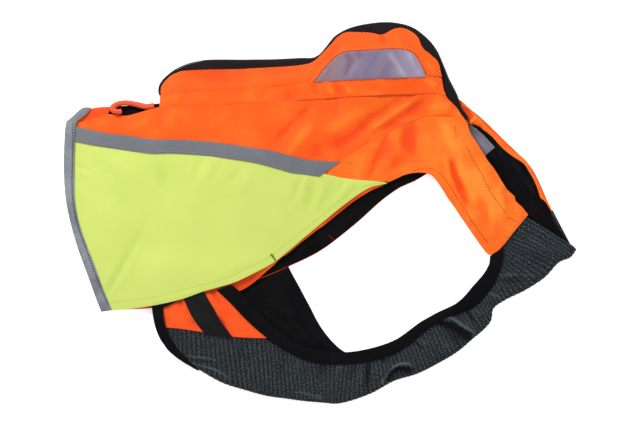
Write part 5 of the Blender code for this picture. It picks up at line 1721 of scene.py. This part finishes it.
# %% Stitches as one mesh
def thread(name, rows, material):
    """One mesh of all the stitches of a thread: each is a short pointed rod."""
    points, faces, uvs, values = [], [], [], []
    for middle, ahead, length, thick in rows:
        side = ahead.cross(Vector((0, 0, 1))).normalized()
        over = side.cross(ahead)
        start = len(points)
        points.append(middle - ahead * length / 2 - over * thick * ROD_DIP)
        for reach in (-ROD_WAIST, ROD_WAIST):
            for a, b in ((1, 0), (0, 1), (-1, 0), (0, -1)):
                points.append(middle + ahead * length * reach + (side * a + over * b) * thick / 2)
        points.append(middle + ahead * length / 2 - over * thick * ROD_DIP)
        uvs += [(k, 0.0) for k in range(10)]
        values += [0.0] * 10
        for k in range(4):
            m = (k + 1) % 4
            faces += [(start, start + 1 + m, start + 1 + k),
                      (start + 1 + k, start + 1 + m, start + 5 + m, start + 5 + k),
                      (start + 9, start + 5 + k, start + 5 + m)]
    piece = mesh_piece(name, points, faces, uvs, values)
    piece.data.materials.append(material)
    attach(piece, "root")
    print(name, len(rows), "stitches")


# %% Bar tacks
TACK_HEIGHT, TACK_LENGTH, TACK_THICK = 0.25, 3.0, 0.85      # mm: each stitch of a tack


def bar_tack(x, y, length, turn, count, seed):
    """A dense zigzag that locks the end of a seam."""
    chance = random.Random(seed)
    found = []
    ahead = Vector((math.cos(math.radians(turn)), math.sin(math.radians(turn)), 0))
    side = Vector((-ahead.y, ahead.x, 0))
    for i in range(count):
        off_row = side * chance.uniform(-0.3, 0.3)
        place = Vector((x, y, 0)) + ahead * length * (i / (count - 1) - 0.5) + off_row
        slant = (side + ahead * chance.uniform(-0.2, 0.5)).normalized()
        place.z = lie_at(place.x, place.y) + TACK_HEIGHT
        found.append((place, slant, TACK_LENGTH, TACK_THICK))
    return found


# %% Seams: orange thread
SEAM_ROWS = (
    ((-196.1, 147.1), (-150.6, 151.6), (-78.1, 155.1), (-6.8, 162.5), (61.9, 166.4), (149.4, 169.9)),
    ((-199.9, 132.1), (-106.8, 136.4), (-6.8, 142.1), (79.4, 147.2), (155.7, 149.4)),
    ((24.4, 63.9), (73.2, 94.6), (109.4, 115.4), (126.9, 120.9), (144.4, 121.9), (164.4, 120.9)),
    ((168.2, 130.6), (167.9, 118.1), (168.2, 106.9)), ((254.4, -4.4), (234.4, -28.8), (220.7, -45.6)),
)
thread("seam_thread", [s for k, row in enumerate(SEAM_ROWS) for s in stitch_row(row, 2.8, 1.8, 0.4, k)],
       ORANGE_THREAD)

# %% Top stitching round the edges and the window: dark thread
WINDOW_ROW = (
    (-9.3, 162.1), (6.9, 183.1), (18.2, 194.4), (30.2, 200.9), (51.9, 202.4), (74.4, 203.6), (96.9, 204.1),
    (109.4, 202.4), (117.4, 198.1), (125.7, 184.9), (133.2, 168.9),
)
DOT_ROWS = (
    ((168.2, 106.9), (168.7, 98.1), (170.2, 89.4)),
    ((181.9, 81.9), (190.7, 64.4), (200.1, 48.1), (206.9, 35.0), (211.9, 24.4), (221.3, 11.9), (228.2, 3.1),
     (234.4, -6.2)),
    ((234.4, -6.2), (241.9, -10.1), (249.4, -14.4)),
    ((115.7, 51.9), (124.4, 54.9), (133.2, 55.6), (141.9, 53.1), (151.3, 45.6), (158.2, 36.9), (164.4, 28.1),
     (169.4, 19.4), (174.4, 11.9), (181.3, 1.9), (186.9, -8.1), (193.2, -16.9), (199.4, -26.2),
     (206.9, -35.6), (211.9, -43.1)),
)
thread("edge_thread", [s for k, row in enumerate(DOT_ROWS) for s in stitch_row(row, 3.1, 1.5, 0.8, k, 0.1)],
       EDGE_THREAD)
thread("window_thread", stitch_row(WINDOW_ROW, 2.4, 1.9, 0.6, 5), EDGE_THREAD)

# %% Strip, hem and flap: grey, dark and yellow thread
STRIP_ROW = (
    (-301.8, 89.4), (-255.6, 82.4), (-216.8, 74.8), (-198.1, 75.9), (-159.3, 74.6), (-111.8, 69.6),
    (-75.6, 62.1), (-39.3, 52.4), (-3.1, 46.4),
)
thread("strip_thread", stitch_row(STRIP_ROW, 3.6, 2.3, 0.6), GREY_THREAD)
HEM_ROW = (
    (-308.8, 110.6), (-309.1, 90.6), (-309.8, 70.6), (-309.8, 21.9), (-304.3, -11.9), (-293.1, -44.4),
    (-276.8, -88.1), (-263.1, -120.6),
)
thread("binding_thread", stitch_row(HEM_ROW, 3.6, 2.4, 1.1), HEM_THREAD)
FLAP_ROW = (
    (-260.6, -111.9), (-206.8, -105.2), (-159.3, -93.1), (-117.2, -81.4), (-83.1, -65.6), (-63.1, -54.4),
    (-25.6, -25.6), (11.9, 4.4), (39.4, 26.9), (59.4, 35.6),
)
thread("flap_thread", stitch_row(FLAP_ROW, 3.0, 2.2, 0.5) + stitch_row(
    ((54.4, 33.1), (69.4, 36.1), (81.9, 37.4)), 2.2, 1.5, 0.5), YELLOW_THREAD)

# %% Bar tacks: green on the flap, red in the armhole
thread("flap_tack_thread", bar_tack(-59, -56, 9, -54, 11, 31) + bar_tack(-60, -54, 5, -54, 5, 34),
       GREEN_THREAD)
thread("armhole_tack_thread", bar_tack(14, -32, 9, -50, 9, 32) + bar_tack(82, 38, 3.5, 10, 4, 33),
       RED_THREAD)
